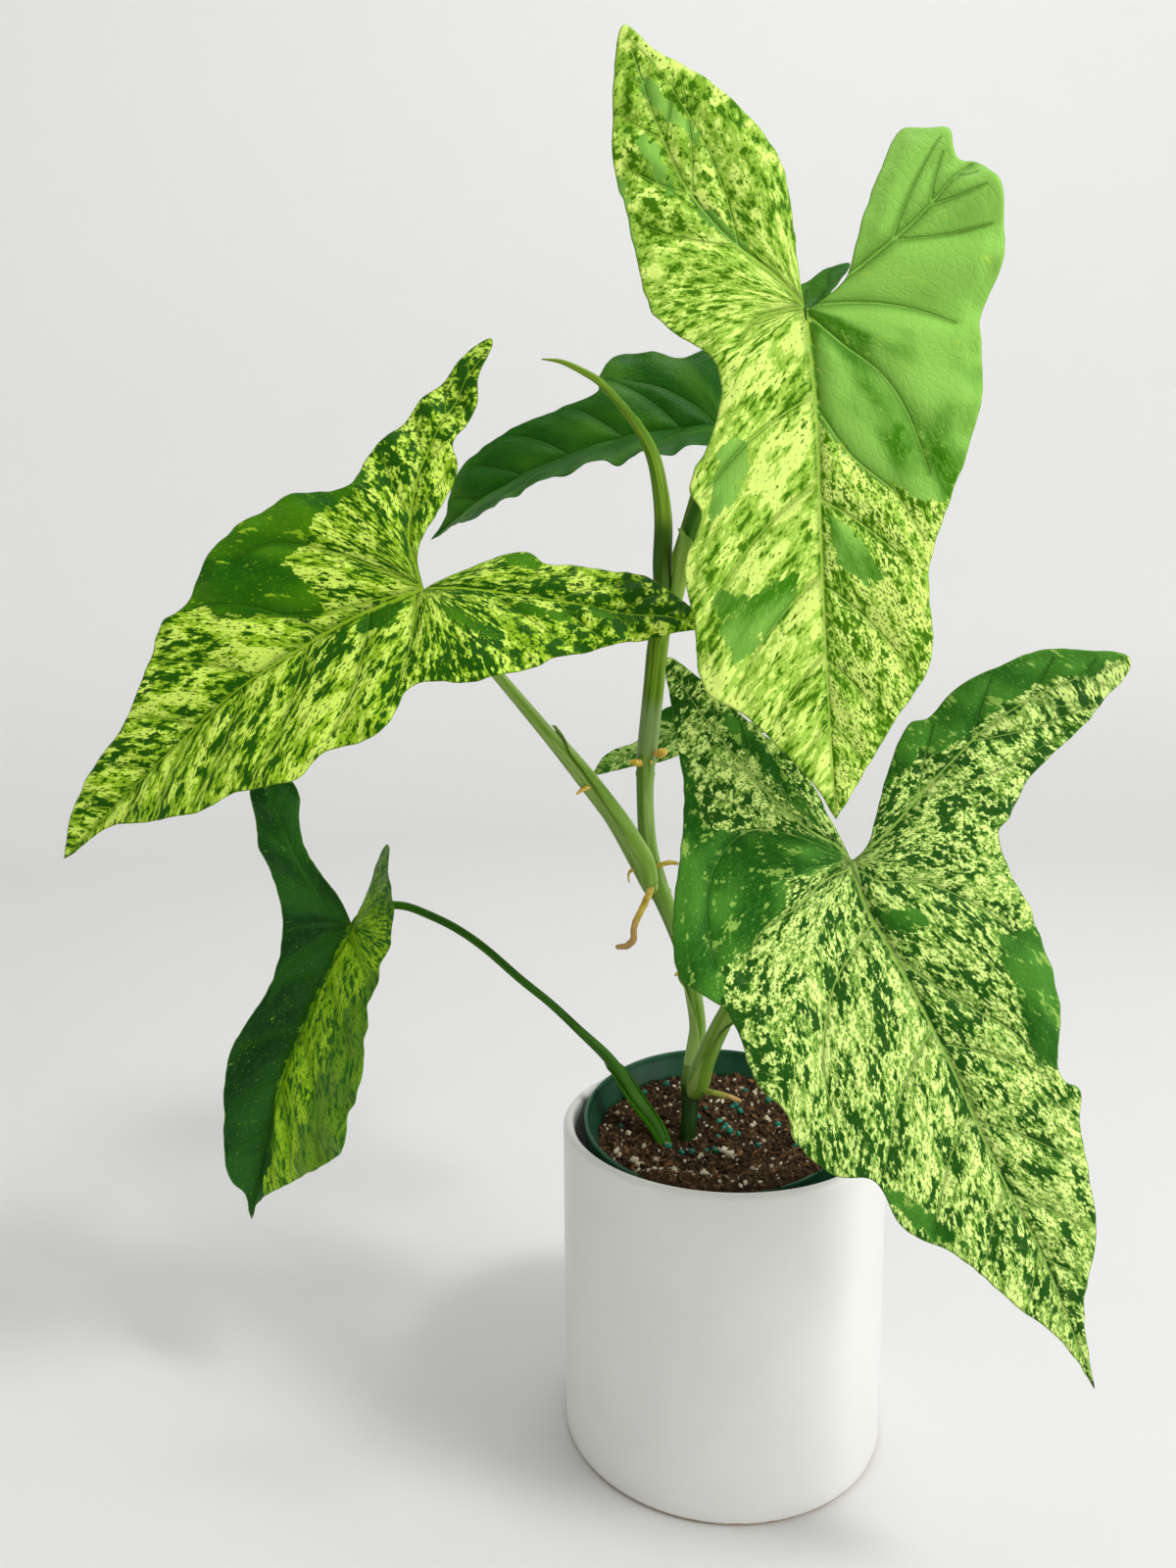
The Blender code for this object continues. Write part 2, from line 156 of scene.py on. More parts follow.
class Finish:
    """A material with one Principled shader."""

    def __init__(self, name, **constants):
        self.material = bpy.data.materials.new(name)
        self.material.use_nodes = True
        self.tree = self.material.node_tree
        self.shader = self.tree.nodes["Principled BSDF"]
        for key, value in constants.items():
            self.shader.inputs[key.replace("_", " ")].default_value = value

    def node(self, kind, settings=None, inputs=None, output=0):
        """Value of one output of a new node, or of several where output is a tuple."""
        made = self.tree.nodes.new(kind)
        for key, value in (settings or {}).items():
            setattr(made, key, value)
        for key, value in (inputs or {}).items():
            self.join(made.inputs[key], value)
        if isinstance(output, tuple):
            return [Value(self, made.outputs[i]) for i in output]
        return Value(self, made.outputs[output])

    def join(self, socket, value):
        if isinstance(value, Value):
            self.tree.links.new(value.socket, socket)
        else:
            socket.default_value = value

    def set(self, **values):
        for key, value in values.items():
            self.join(self.shader.inputs[key.replace("_", " ")], value)

    def mix(self, amount, first, second):
        """Colour between two, by the Mix node's colour sockets 6 and 7 and its output 2."""
        inputs = {0: amount, 6: first, 7: second}
        return self.node("ShaderNodeMix", {"data_type": "RGBA"}, inputs, output=2)

    def attribute(self, name, output="Fac"):
        return self.node("ShaderNodeAttribute", {"attribute_name": name}, output=output)

    def split(self, vector):
        return self.node("ShaderNodeSeparateXYZ", None, {0: vector}, output=(0, 1, 2))

    def place(self):
        """Object coordinates in millimetres."""
        spot = self.node("ShaderNodeTexCoord", output="Object")
        return self.node("ShaderNodeVectorMath", {"operation": "SCALE"}, {0: spot, 3: 1 / MM})

    def noise(self, vector, size, detail=2.0, roughness=0.5):
        """Cloudy pattern from 0 to 1, with lumps of a size."""
        inputs = {"Vector": vector, "Scale": 1 / size, "Detail": detail, "Roughness": roughness}
        return self.node("ShaderNodeTexNoise", None, inputs)

    def cells(self, vector, size):
        """Distance to the nearest of many scattered points."""
        inputs = {"Vector": vector, "Scale": 1 / size}
        return self.node("ShaderNodeTexVoronoi", None, inputs, output="Distance")

    def net(self, vector, size):
        """Distance to the lines of a flat net of small cells."""
        settings = {"voronoi_dimensions": "2D", "feature": "DISTANCE_TO_EDGE"}
        inputs = {"Vector": vector, "Scale": 1 / size}
        return self.node("ShaderNodeTexVoronoi", settings, inputs, output="Distance")

    def stretched(self, parts, length, width, shift):
        """Coordinates that stretch a pattern along the first part."""
        inputs = {0: parts[0] / length, 1: parts[1] / width, 2: parts[2] + shift}
        return self.node("ShaderNodeCombineXYZ", None, inputs)

    def bump(self, height, distance, strength):
        inputs = {"Height": height, "Distance": distance * MM, "Strength": strength}
        return self.node("ShaderNodeBump", None, inputs)


# Leaves
# Each leaf is drawn flat: +Y runs from the petiole joint to the tip, +X is the
# side named right and +Z the upper face. A margin runs from the tip round the
# basal lobe to the joint. Angles are radians, bends are radians per millimetre:
# fold lifts a half blade, lobe_fold lifts its basal lobe, curl rolls it across,
# droop bends the midrib and lobe_bend the lobes, ripple is the height of the
# waves along the right and the left margin. basal is the vein of each lobe,
# laterals are side veins that were drawn, starts are the places on the midrib
# where the others leave it.
LEAVES = {
    "leaf_top": {
        "joint": (20.6, -68.0, 394.6),
        "tip_direction": (0.07, -0.24, -0.968),
        "face": (0.0, -0.97, 0.24),
        "droop": 0.0012,
        "ripple": (0.9, 1.1),
        "midrib": [(0, 0), (-0.5, 8), (-1.2, 31), (-0.2, 69), (0.3, 106), (0, 146)],
        "right": {
            "fold": 0.08, "lobe_fold": 0.0, "curl": -0.002, "lobe_bend": -0.003,
            "margin": [(0, 146), (7, 134), (22, 117), (33, 109), (36, 102), (36.5, 88), (38.4, 76), (37, 68),
                       (33.5, 61.5), (33, 56.5), (35.6, 51), (34, 45), (29.5, 38), (25, 23), (28, 12),
                       (43, -2), (49, -33), (52, -49), (51, -69), (47, -86), (38, -78), (30, -73),
                       (19, -64), (8, -50), (3, -38), (1, -12), (0, 0)],
            "basal": [(0, 0), (7.5, -10), (19.8, -22.2), (31.5, -39.1), (39.3, -59.5), (45, -80)],
            "laterals": [[(0, 0), (9, 0.8), (14.7, 3.3), (19.5, 9.5)]],
            "starts": [26, 51, 77, 99, 118],
        },
        "left": {
            "fold": 0.10, "lobe_fold": 0.35, "curl": -0.002, "lobe_bend": 0.008,
            "margin": [(0, 146), (-17, 120), (-28, 103), (-29, 78), (-36, 59), (-43, 42), (-47, 26),
                       (-47, 11), (-54, -5), (-55, -18), (-51, -28), (-45, -32), (-44, -41), (-39, -43),
                       (-32, -47), (-27, -40), (-19, -24), (-12, -7), (-3, 0), (0, 0)],
            "basal": [(0, 0), (-12.2, -6.8), (-31.2, -17), (-45.3, -26.8), (-50, -29)],
            "laterals": [[(0, 0), (-10.2, 0.7), (-21.1, 2.7), (-31.6, 6), (-40.6, 10.3)],
                         [(-0.8, 2.8), (-9.4, 12.4), (-19.7, 22.6), (-26.7, 36.9), (-30.6, 52)],
                         [(-1.4, 29.9), (-9.8, 44.6), (-21.1, 56.3), (-28, 70)]],
            "starts": [56, 80, 101, 119],
        },
    },
    "leaf_left": {
        "joint": (-95.0, -58.0, 317.0),
        "tip_direction": (-0.831, -0.259, -0.491),
        "face": (-0.09, -0.81, 0.58),
        "droop": 0.0025,
        "ripple": (0.6, 0.5),
        "midrib": [(0, 0), (1.9, 10), (5, 27), (6.5, 52), (6, 80), (3, 106), (0, 147)],
        "right": {
            "fold": 0.34, "lobe_fold": 0.3, "curl": -0.003, "lobe_bend": -0.0025,
            "margin": [(0, 147), (9, 136), (16, 122), (22, 102), (33, 86), (41, 76), (42, 66), (52, 51),
                       (54, 42), (54, 28), (51, 16), (44, 3), (51, -7), (54, -19), (59, -34), (65, -58),
                       (63, -65), (54, -54), (46, -48), (38, -34), (29, -30), (21, -19), (12, -5), (0, 0)],
            "basal": [(0, 0), (8, -1.5), (19.6, -5.8), (37.3, -21), (51.5, -42.1), (61, -61)],
            "laterals": [[(0.6, 3), (5, 14), (12, 32), (22, 47), (31.7, 60.7)],
                         [(0, 0), (14, 9), (28, 19), (41, 32), (45, 46)]],
            "starts": [34, 60, 84, 104, 122],
        },
        "left": {
            "fold": 0.16, "lobe_fold": 0.05, "curl": -0.003, "lobe_bend": 0.002,
            "margin": [(0, 147), (-4, 126), (-14, 112), (-26, 92), (-29, 80), (-38, 63), (-37, 50),
                       (-42, 33), (-34, 19), (-43, 4), (-47, -8), (-51, -30), (-60, -57), (-62, -67),
                       (-53, -65), (-38, -60), (-30, -52), (-21, -43), (-15, -36), (-7, -32), (-3, -20),
                       (-1, -6), (0, 0)],
            "basal": [(0, 0), (-8, -9), (-24.3, -26.3), (-45.7, -47.8), (-59, -63.5)],
            "laterals": [],
            "starts": [3, 18, 40, 64, 88, 108, 125],
        },
    },
    "leaf_right": {
        "joint": (37.1, -75.0, 235.9),
        "tip_direction": (0.441, -0.299, -0.846),
        "face": (0.06, -0.93, 0.36),
        "droop": 0.0022,
        "ripple": (0.9, 1.0),
        "midrib": [(0, 0), (2.4, 14), (1.4, 32), (0.4, 60), (0.6, 96), (-1.0, 124), (0, 169)],
        "right": {
            "fold": 0.15, "lobe_fold": 0.15, "curl": -0.002, "lobe_bend": 0.001,
            "margin": [(0, 169), (4, 150), (13, 132), (22, 113), (33, 99), (35, 84), (45, 77), (51, 64),
                       (50, 56), (54, 45), (53, 25), (61, 11), (57, -4), (39, -34), (32, -54), (26, -74),
                       (22, -80), (14, -64), (6, -44), (1, -32), (0, -12), (0, 0)],
            "basal": [(0, 0), (2, -6), (7.9, -14.5), (14.7, -31), (20.3, -54.1), (23.5, -76)],
            "laterals": [[(0.6, -2), (13, -14.1), (25, -20.2), (38.4, -14.5), (46.9, -2.2), (51, 11.8)],
                         [(0.8, 2), (10, 2), (21.5, 5.8), (34.2, 8), (43.7, 14.8)],
                         [(2, 18.7), (12, 24), (22.5, 31.2), (33.7, 47.1), (38.3, 62.6)]],
            "starts": [53, 78, 102, 124, 142],
        },
        "left": {
            "fold": 0.10, "lobe_fold": 0.45, "curl": -0.003, "lobe_bend": -0.004,
            "margin": [(0, 169), (-6, 144), (-18, 124), (-26, 95), (-30, 86), (-27, 79), (-35, 63),
                       (-38, 51), (-40, 35), (-41, 13), (-48, 7), (-59, -1), (-82, -9), (-96, -18),
                       (-86, -27), (-74, -33), (-51, -34), (-39, -29), (-31, -29), (-18, -16), (-7, -3),
                       (0, 0)],
            "basal": [(0, 0), (-12.7, -3), (-30.5, -10.6), (-52.6, -19), (-74.1, -20.9), (-93, -19.5)],
            "laterals": [[(-1, 4), (-5, 9.3), (-15.2, 14), (-25.4, 24.9), (-33, 38.2)],
                         [(0.4, 32), (-9, 48.3), (-19.2, 62), (-24, 75)]],
            "starts": [58, 82, 105, 126, 143],
        },
    },
    "leaf_low": {
        "joint": (-142.0, 2.0, 191.0),
        "tip_direction": (-0.318, -0.28, -0.906),
        "face": (-0.12, -0.94, 0.33),
        "droop": 0.0015,
        "ripple": (1.0, 1.4),
        "midrib": [(0, 0), (1.0, 6), (3.0, 23), (5.2, 49), (5.5, 73), (3, 95), (0, 119)],
        "right": {
            "fold": 0.40, "lobe_fold": 0.5, "curl": -0.004, "lobe_bend": -0.001,
            "margin": [(0, 119), (5, 110), (14, 104), (20, 89), (27, 66), (26, 51), (22, 35), (22, 19),
                       (28, 2), (38, -10), (48, -24), (57, -44), (58, -53), (50, -49), (37, -41),
                       (29, -24), (17, -14), (8, -8), (0, 0)],
            "basal": [(0, 0), (11.3, -3), (28.8, -17), (41.5, -30.8), (53, -47)],
            "laterals": [[(0.4, 1), (8.1, 9.2), (16.6, 20.7), (19.6, 38)]],
            "starts": [20, 42, 64, 84, 100],
        },
        "left": {
            "fold": 0.50, "lobe_fold": 0.9, "curl": -0.004, "lobe_bend": -0.006,
            "margin": [(0, 119), (-3, 109), (-20, 92), (-34, 78), (-39, 69), (-34, 61), (-37, 52),
                       (-31, 38), (-30, 30), (-25, 24), (-27, 15), (-24, 8), (-27, 0), (-28, -12),
                       (-28, -20), (-22, -27), (-15, -35), (-9, -34), (-5, -24), (-2, -10), (0, 0)],
            "basal": [(0, 0), (-5, -6), (-11, -14), (-14, -24)],
            "laterals": [],
            "starts": [4, 22, 44, 66, 86, 101],
        },
    },
    "leaf_back": {
        "joint": (-3.0, 45.0, 379.0),
        "tip_direction": (-0.98, -0.182, -0.076),
        "face": (0.05, -0.60, 0.79),
        "droop": 0.0053,
        "ripple": (0.5, 1.7),
        "midrib": [(0, 0), (2, 15), (3.6, 29), (4.5, 52), (3.8, 80), (1, 104), (0, 126)],
        "right": {
            "fold": 0.40, "lobe_fold": 0.6, "curl": -0.002, "lobe_bend": 0.0,
            "margin": [(0, 126), (5, 116), (21, 104), (27, 82), (28, 46), (36, 42), (45, 33), (42, 21),
                       (36, 9), (40, -4), (53, -27), (64, -46), (68, -60), (55, -51), (35, -33),
                       (15, -15), (4, -3), (0, 0)],
            "basal": [(0, 0), (12, -7), (30, -22), (48, -40), (64, -57)],
            "laterals": [[(0.5, 2), (12, 9), (24, 21), (32, 33)]],
            "starts": [16, 38, 60, 80, 99],
        },
        "left": {
            "fold": 0.37, "lobe_fold": 0.42, "curl": -0.002, "lobe_bend": 0.002,
            "margin": [(0, 126), (-7, 113), (-20, 101), (-26, 83), (-24, 72), (-30, 58), (-28, 48),
                       (-35, 38), (-37, 24), (-33, 10), (-40, -6), (-51, -27), (-59, -51), (-46, -46),
                       (-28, -29), (-12, -12), (-3, -2), (0, 0)],
            "basal": [(0, 0), (-10, -8), (-26, -20), (-43, -36), (-56, -49)],
            "laterals": [],
            "starts": [2, 16, 38, 60, 82, 101],
        },
    },
    "leaf_small": {
        "joint": (-8.6, 52.0, 266.0),
        "tip_direction": (-0.92, -0.10, -0.38),
        "face": (-0.15, -0.75, 0.62),
        "droop": 0.004,
        "ripple": (0.4, 0.5),
        "midrib": [(0, 0), (0.4, 20), (0, 52)],
        "right": {
            "fold": 0.2, "lobe_fold": 0.2, "curl": -0.002, "lobe_bend": 0.001,
            "margin": [(0, 52), (3, 47.5), (5, 43), (5, 37), (4, 31), (5, 25), (9, 19), (12, 13), (11, 4),
                       (16, -8), (18, -20), (17, -26), (13, -21), (7, -11), (2, -3), (0, 0)],
            "basal": [(0, 0), (5, -4), (12, -13), (16.5, -22)],
            "laterals": [],
            "starts": [2, 9, 18, 27, 36],
        },
        "left": {
            "fold": 0.2, "lobe_fold": 0.2, "curl": -0.002, "lobe_bend": 0.001,
            "margin": [(0, 52), (-2.5, 47), (-5, 40), (-8, 31), (-11.5, 23), (-12.5, 15), (-11, 6),
                       (-15, -7), (-19, -19), (-17, -25), (-13, -19), (-6, -9), (-2, -3), (0, 0)],
            "basal": [(0, 0), (-5, -4), (-12, -13), (-16.5, -21)],
            "laterals": [],
            "starts": [2, 9, 18, 27, 36],
        },
    },
}

# Plain green sectors of each blade, as outlines in its flat frame
GREEN_SECTORS = {
    "leaf_top": [
        [(-1, 0), (-1.5, 30), (-4, 37), (-10, 45), (-16, 52), (-23, 56), (-28, 58.5), (-40, 61),
         (-70, 40), (-70, -60), (-25, -60), (0, -6)],
        [(30.7, 59), (29.7, 51), (26.3, 40), (22, 37.3), (17.7, 39.4), (19.2, 46.3), (23, 54.3),
         (27.4, 59.3)],
        [(29.7, 78.8), (30.1, 85.8), (28.8, 92.7), (25.2, 100.7), (20, 96.1), (14.2, 91), (7.8, 83.1),
         (6.8, 76.3), (13.4, 77.2), (20.6, 82.8)],
        [(60, -46), (50.3, -45.8), (48.2, -34.6), (46.6, -22.2), (60, -20)],
        [(45, -71.4), (41.2, -71.4), (33.5, -61.8), (29.3, -56.9), (22.6, -45.9), (22, -41.3), (26.7, -48),
         (33.8, -57.5), (40.7, -64.2)],
        [(44.9, -56.9), (42.2, -55.4), (34.7, -41.5), (35.6, -37.1), (40.6, -44), (45.3, -52.5)],
        [(30.6, -35.2), (24.8, -32.2), (15.2, -19.6), (16.4, -17.4), (25.1, -27.1)],
        [(-2.3, 60.4), (-8.2, 64.6), (-17.2, 79.2), (-14.4, 81.9), (-7.5, 77.7), (-2.3, 69.3)],
    ],
    "leaf_left": [
        [(48, 76), (37.6, 64.5), (38.9, 60.5), (31.7, 60.7), (13.2, 36.1), (11.2, 30), (19.6, 29.5),
         (28, 31.4), (32.9, 33.3), (34.4, 27.7), (35.3, 20.7), (39.8, 17.3), (39.5, 10.5), (40.9, 4.5),
         (43.5, -3.8), (47, -4), (70, 10), (70, 60)],
        [(-22.8, -19.6), (-28.3, -25.2), (-33, -27.8), (-37, -35.5), (-38.8, -31.2), (-32.3, -23.1),
         (-25.2, -18.3)],
        [(-5, -26), (-8.6, -34), (-15.2, -38), (-16.1, -31.6), (-10.5, -25.9)],
        [(-37.4, -38.8), (-47.3, -50.2), (-51.4, -49.5), (-41.7, -38)],
        [(1.9, 26.4), (0.5, 3.9), (-10.1, 15.3), (-4.5, 23.8)],
        [(-6.5, 0), (-27.9, -10.3), (-35.8, -12.8), (-33.3, -7.7), (-16.4, -0.7)],
    ],
    "leaf_right": [
        [(31.8, -51.3), (45, -50), (55, -28), (70, 10), (62, 22), (53.7, 22.7), (50.4, 18.7), (49.7, 13),
         (42.8, 11.5), (35.2, 8.8), (24.8, 4.1), (21.6, -2.4), (6.2, -0.5), (1.5, -1.7), (3, -6.6),
         (9.5, -13.2), (17.4, -17.3), (25.7, -20.2), (33.7, -23.7), (35.8, -31.3), (32.5, -39.6),
         (32, -46.2)],
        [(-17, -22), (-26, -29), (-44, -40), (-70, -40), (-96, -22), (-83.1, -19.9), (-74.6, -23.5),
         (-65.6, -23.2), (-56.8, -23), (-50, -20.2), (-42.1, -19.3), (-35.4, -17.8), (-32.2, -21),
         (-27.9, -18.3), (-19.1, -16.1)],
        [(-27.6, 37.1), (-44, 40), (-45, 55), (-36, 65.2), (-30, 80), (-22.7, 74.1), (-23, 63.7),
         (-25.5, 52.6), (-25.4, 43.4)],
        [(0.3, 17.9), (-4.1, 17.4), (-12.6, 22.2), (-12, 26.6), (-5.6, 26.8), (-0.2, 22.2)],
        [(14.7, -59.4), (8.5, -48.1), (6.6, -31.9), (3.5, -17.2), (3.9, -12.5), (6.1, -16.7),
         (10.8, -30.3), (14.1, -43.6), (17.5, -53.6)],
        [(34, 84.5), (33, 92), (26.6, 106), (18.4, 112), (22.2, 101.6), (28.1, 91.7)],
    ],
    "leaf_low": [
        [(1, -2), (2.8, 23), (5.1, 49), (6.9, 71), (-0.6, 80.7), (-4.3, 92.6), (-3, 99.7), (-6, 108),
         (-8, 122), (40, 120), (80, 0), (70, -80), (4, -20)],
    ],
    "leaf_back": [
        [(-90, -90), (90, -90), (90, 150), (-90, 150)],
    ],
    "leaf_small": [
        [(2, 10), (12, 22), (22, 10), (20, -4), (8, 0)],
    ],
}


def path_through(points, step):
    """Rows about one step apart on a smooth curve through the given rows."""
    rows = np.array(points, float)
    path = []
    for i in range(len(rows) - 1):
        before = rows[max(i - 1, 0)]
        start = rows[i]
        end = rows[i + 1]
        after = rows[min(i + 2, len(rows) - 1)]
        count = max(1, round(float(np.linalg.norm((end - start)[:3])) / step))
        for u in np.arange(count) / count:
            path.append(0.5 * (2 * start + (end - before) * u
                               + (2 * before - 5 * start + 4 * end - after) * u ** 2
                               + (3 * start - before - 3 * end + after) * u ** 3))
    path.append(rows[-1])
    return np.array(path)


def smoothstep(start, end, value):
    u = np.clip((value - start) / (end - start), 0.0, 1.0)
    return u * u * (3 - 2 * u)


def arc(length, lift, curl):
    """Run and rise along an arc that starts at the angle lift and turns by curl."""
    end = lift + curl * length
    return (np.sin(end) - np.sin(lift)) / curl, (np.cos(lift) - np.cos(end)) / curl


def beside(along):
    """Unit vectors to the left of flat directions."""
    across = np.stack([-along[:, 1], along[:, 0]], axis=1)
    return across / np.maximum(np.linalg.norm(across, axis=1, keepdims=True), 1e-6)


def inside(edges, flat):
    """True for the flat points inside a closed outline, given as its edges' ends."""
    start, end = edges
    x, y = flat[:, 0:1], flat[:, 1:2]
    crosses = (start[:, 1] > y) != (end[:, 1] > y)
    rise = np.where(np.abs(end[:, 1] - start[:, 1]) < 1e-9, 1e-9, end[:, 1] - start[:, 1])
    left_of = x < start[:, 0] + (y - start[:, 1]) * (end[:, 0] - start[:, 0]) / rise
    return (crosses & left_of).sum(axis=1) % 2 == 1


def segment_distance(points, start, end):
    """Distances from each point to each segment."""
    run = end - start
    size = np.maximum((run ** 2).sum(axis=1), 1e-12)
    offset = points[:, None, :] - start[None]
    share = np.clip((offset * run[None]).sum(axis=2) / size[None], 0, 1)
    return np.linalg.norm(offset - share[..., None] * run[None], axis=2)


def rough(points, size, seed):
    """Smooth random heights at flat points, from lumps of a size in millimetres."""
    return np.array([noise.noise(Vector((p[0] / size, p[1] / size, seed))) for p in points])


def circle(radius, count):
    """(x, y) places round a circle."""
    angles = [2 * math.pi * k / count for k in range(count)]
    return [(radius * math.cos(angle), radius * math.sin(angle)) for angle in angles]


def ring_faces(rings, sides):
    """Faces that join rings of points, each to the next."""
    faces = []
    for i in range(rings - 1):
        for k in range(sides):
            a, b = i * sides + k, i * sides + (k + 1) % sides
            faces.append((a, a + sides, b + sides, b))
    return faces


class Leaf:
    """Flat drawing of one blade and its place in the plant."""

    def __init__(self, name, drawing, index):
        self.name = name
        self.drawing = drawing
        self.index = index
        self.length = drawing["right"]["margin"][0][1]
        self.midrib = path_through(drawing["midrib"], 1.0)
        self.outline = self.make_outline()
        self.edges = (self.outline, np.roll(self.outline, -1, axis=0))
        self.veins = self.make_veins()
        starts, ends, widths = [], [], []
        for points, width_start, width_end in self.veins:
            share = np.linspace(0, 1, len(points))
            width = width_start + (width_end - width_start) * share
            starts.append(points[:-1])
            ends.append(points[1:])
            widths.append(width[:-1])
        self.segments = (np.vstack(starts), np.vstack(ends), np.concatenate(widths))

    def make_outline(self):
        """Closed outline, down the right margin and back up the left."""
        right = path_through(self.drawing["right"]["margin"], MARGIN_STEP)
        left = path_through(self.drawing["left"]["margin"], MARGIN_STEP)
        outline = np.vstack([right[:-1], left[::-1][:-1]])
        across = beside(np.roll(outline, -1, axis=0) - np.roll(outline, 1, axis=0))
        fade = np.minimum(np.linalg.norm(outline, axis=1) / 20, 1)
        return outline + across * (WOBBLE * rough(outline, 4.5, self.index) * fade)[:, None]

    def midrib_at(self, along):
        return np.interp(along, self.midrib[:, 1], self.midrib[:, 0])

    def rim_distance(self, flat):
        parts = [segment_distance(flat[i:i + BATCH], *self.edges).min(axis=1)
                 for i in range(0, len(flat), BATCH)]
        return np.concatenate(parts) if parts else np.zeros(0)

    def trace(self, start, angle, turn, stop, longest=90):
        """Vein from a start, at an angle from the tip direction, to near the margin."""
        points = [np.array(start, float)]
        for _ in range(longest):
            step = np.array((math.sin(angle), math.cos(angle)))
            spot = points[-1] + step
            if not inside(self.edges, spot[None])[0] or self.rim_distance(spot[None])[0] < stop:
                break
            points.append(spot)
            angle += turn
        return np.array(points)

    def make_veins(self):
        """Midrib, basal veins and their side veins: (points, half width, end half width)."""
        size = min(1.0, self.length / FULL_LENGTH)
        veins = [(self.midrib[:-2], 1.0 * size, 0.22 * size)]
        for side, sign in (("right", 1), ("left", -1)):
            half = self.drawing[side]
            basal = path_through(half["basal"], VEIN_STEP)
            veins.append((basal, 0.72 * size, 0.22 * size))
            for points in half["laterals"]:
                veins.append((path_through(points, VEIN_STEP), 0.52 * size, 0.18 * size))
            for place in half["starts"]:
                share = place / self.length
                start = (float(self.midrib_at(place)), place)
                angle = sign * (1.25 - 0.62 * share)
                points = self.trace(start, angle, -sign * 0.012, 2.6 * size)
                veins.append((points, (0.5 - 0.2 * share) * size, 0.16 * size))
            count = len(basal)
            for share in (0.28, 0.5, 0.7, 0.86):
                spot = basal[int(count * share)]
                ahead = basal[min(int(count * share) + 3, count - 1)] - spot
                heading = math.atan2(ahead[0], ahead[1])
                for branch in (1, -1):
                    points = self.trace(spot, heading + branch * 0.62, -branch * 0.009, 2.4 * size)
                    if len(points) > 5:
                        veins.append((points, 0.27 * size, 0.1 * size))
        return [vein for vein in veins if len(vein[0]) > 3]

    def vein_fields(self, flat):
        """Distance to the nearest vein, distance over its half width, and the half width."""
        near = np.full(len(flat), 1e9)
        mark = np.full(len(flat), 1e9)
        width = np.ones(len(flat))
        start, end, half = self.segments
        for begin in range(0, len(flat), BATCH):
            part = slice(begin, begin + BATCH)
            gaps = segment_distance(flat[part], start, end)
            near[part] = gaps.min(axis=1)
            marks = gaps / half
            best = marks.argmin(axis=1)
            mark[part] = marks[np.arange(len(best)), best]
            width[part] = half[best]
        return near, mark, width

    def sector_depth(self, flat):
        """How deep a point lies inside a plain green sector, negative outside."""
        depth = np.full(len(flat), -30.0)
        for sector in GREEN_SECTORS[self.name]:
            corners = np.array(sector, float)
            following = np.roll(corners, -1, axis=0)
            gap = segment_distance(flat, corners, following).min(axis=1)
            depth = np.maximum(depth, np.where(inside((corners, following), flat), gap, -gap))
        return depth

    def bent(self, flat):
        """Places of flat points on the bent and folded blade, in millimetres."""
        along = flat[:, 1]
        shift = self.midrib_at(along)
        across = flat[:, 0] - shift
        right, left = self.drawing["right"], self.drawing["left"]
        is_left = across < 0

        def side(key):
            return np.where(is_left, left[key], right[key])

        bend = np.where(along >= 0, self.drawing["droop"], side("lobe_bend"))
        bend = np.where(np.abs(bend) < 1e-6, 1e-6, bend)
        forward, rise = arc(along, 0.0, -bend)
        tilt = -bend * along
        lobe_share = smoothstep(0.10 * self.length, -0.25 * self.length, along)
        lift = side("fold") + (side("lobe_fold") - side("fold")) * lobe_share
        sideways, height = arc(np.abs(across), lift, side("curl"))
        reach = np.minimum(np.abs(across) / (0.3 * self.length), 1.2)
        fade = smoothstep(self.length, 0.8 * self.length, along) * self.lobe_fade(flat)
        phase = np.where(is_left, 2.6, 0.8)
        wave = self.ripple(flat) * np.sin(2 * math.pi * along / RIPPLE_LENGTH + phase)
        height = height + reach ** 3 * fade * wave
        local = np.stack([shift + np.copysign(sideways, across),
                          forward - height * np.sin(tilt),
                          rise + height * np.cos(tilt)], axis=1)
        return np.array(self.drawing["joint"]) + local @ self.axes().T

    def ripple(self, flat):
        right, left = self.drawing["ripple"]
        return np.where(flat[:, 0] < self.midrib_at(flat[:, 1]), left, right)

    def lobe_fade(self, flat):
        """0 near the tips of the two basal lobes and 1 over the rest of the blade."""
        fade = np.ones(len(flat))
        for side in ("right", "left"):
            tip = min(self.drawing[side]["margin"], key=lambda p: p[1])
            fade = np.minimum(fade, smoothstep(3, 26, np.hypot(flat[:, 0] - tip[0], flat[:, 1] - tip[1])))
        return fade

    def axes(self):
        """Columns are the leaf's right side, its tip direction and its upper face."""
        tip = Vector(self.drawing["tip_direction"]).normalized()
        face = Vector(self.drawing["face"])
        face = (face - face.dot(tip) * tip).normalized()
        return np.array(Matrix((tip.cross(face), tip, face)).transposed())

    def normals(self, flat):
        step = 0.6
        aside = self.bent(flat + (step, 0)) - self.bent(flat - (step, 0))
        ahead = self.bent(flat + (0, step)) - self.bent(flat - (0, step))
        facing = np.cross(aside, ahead)
        return facing / np.linalg.norm(facing, axis=1, keepdims=True)

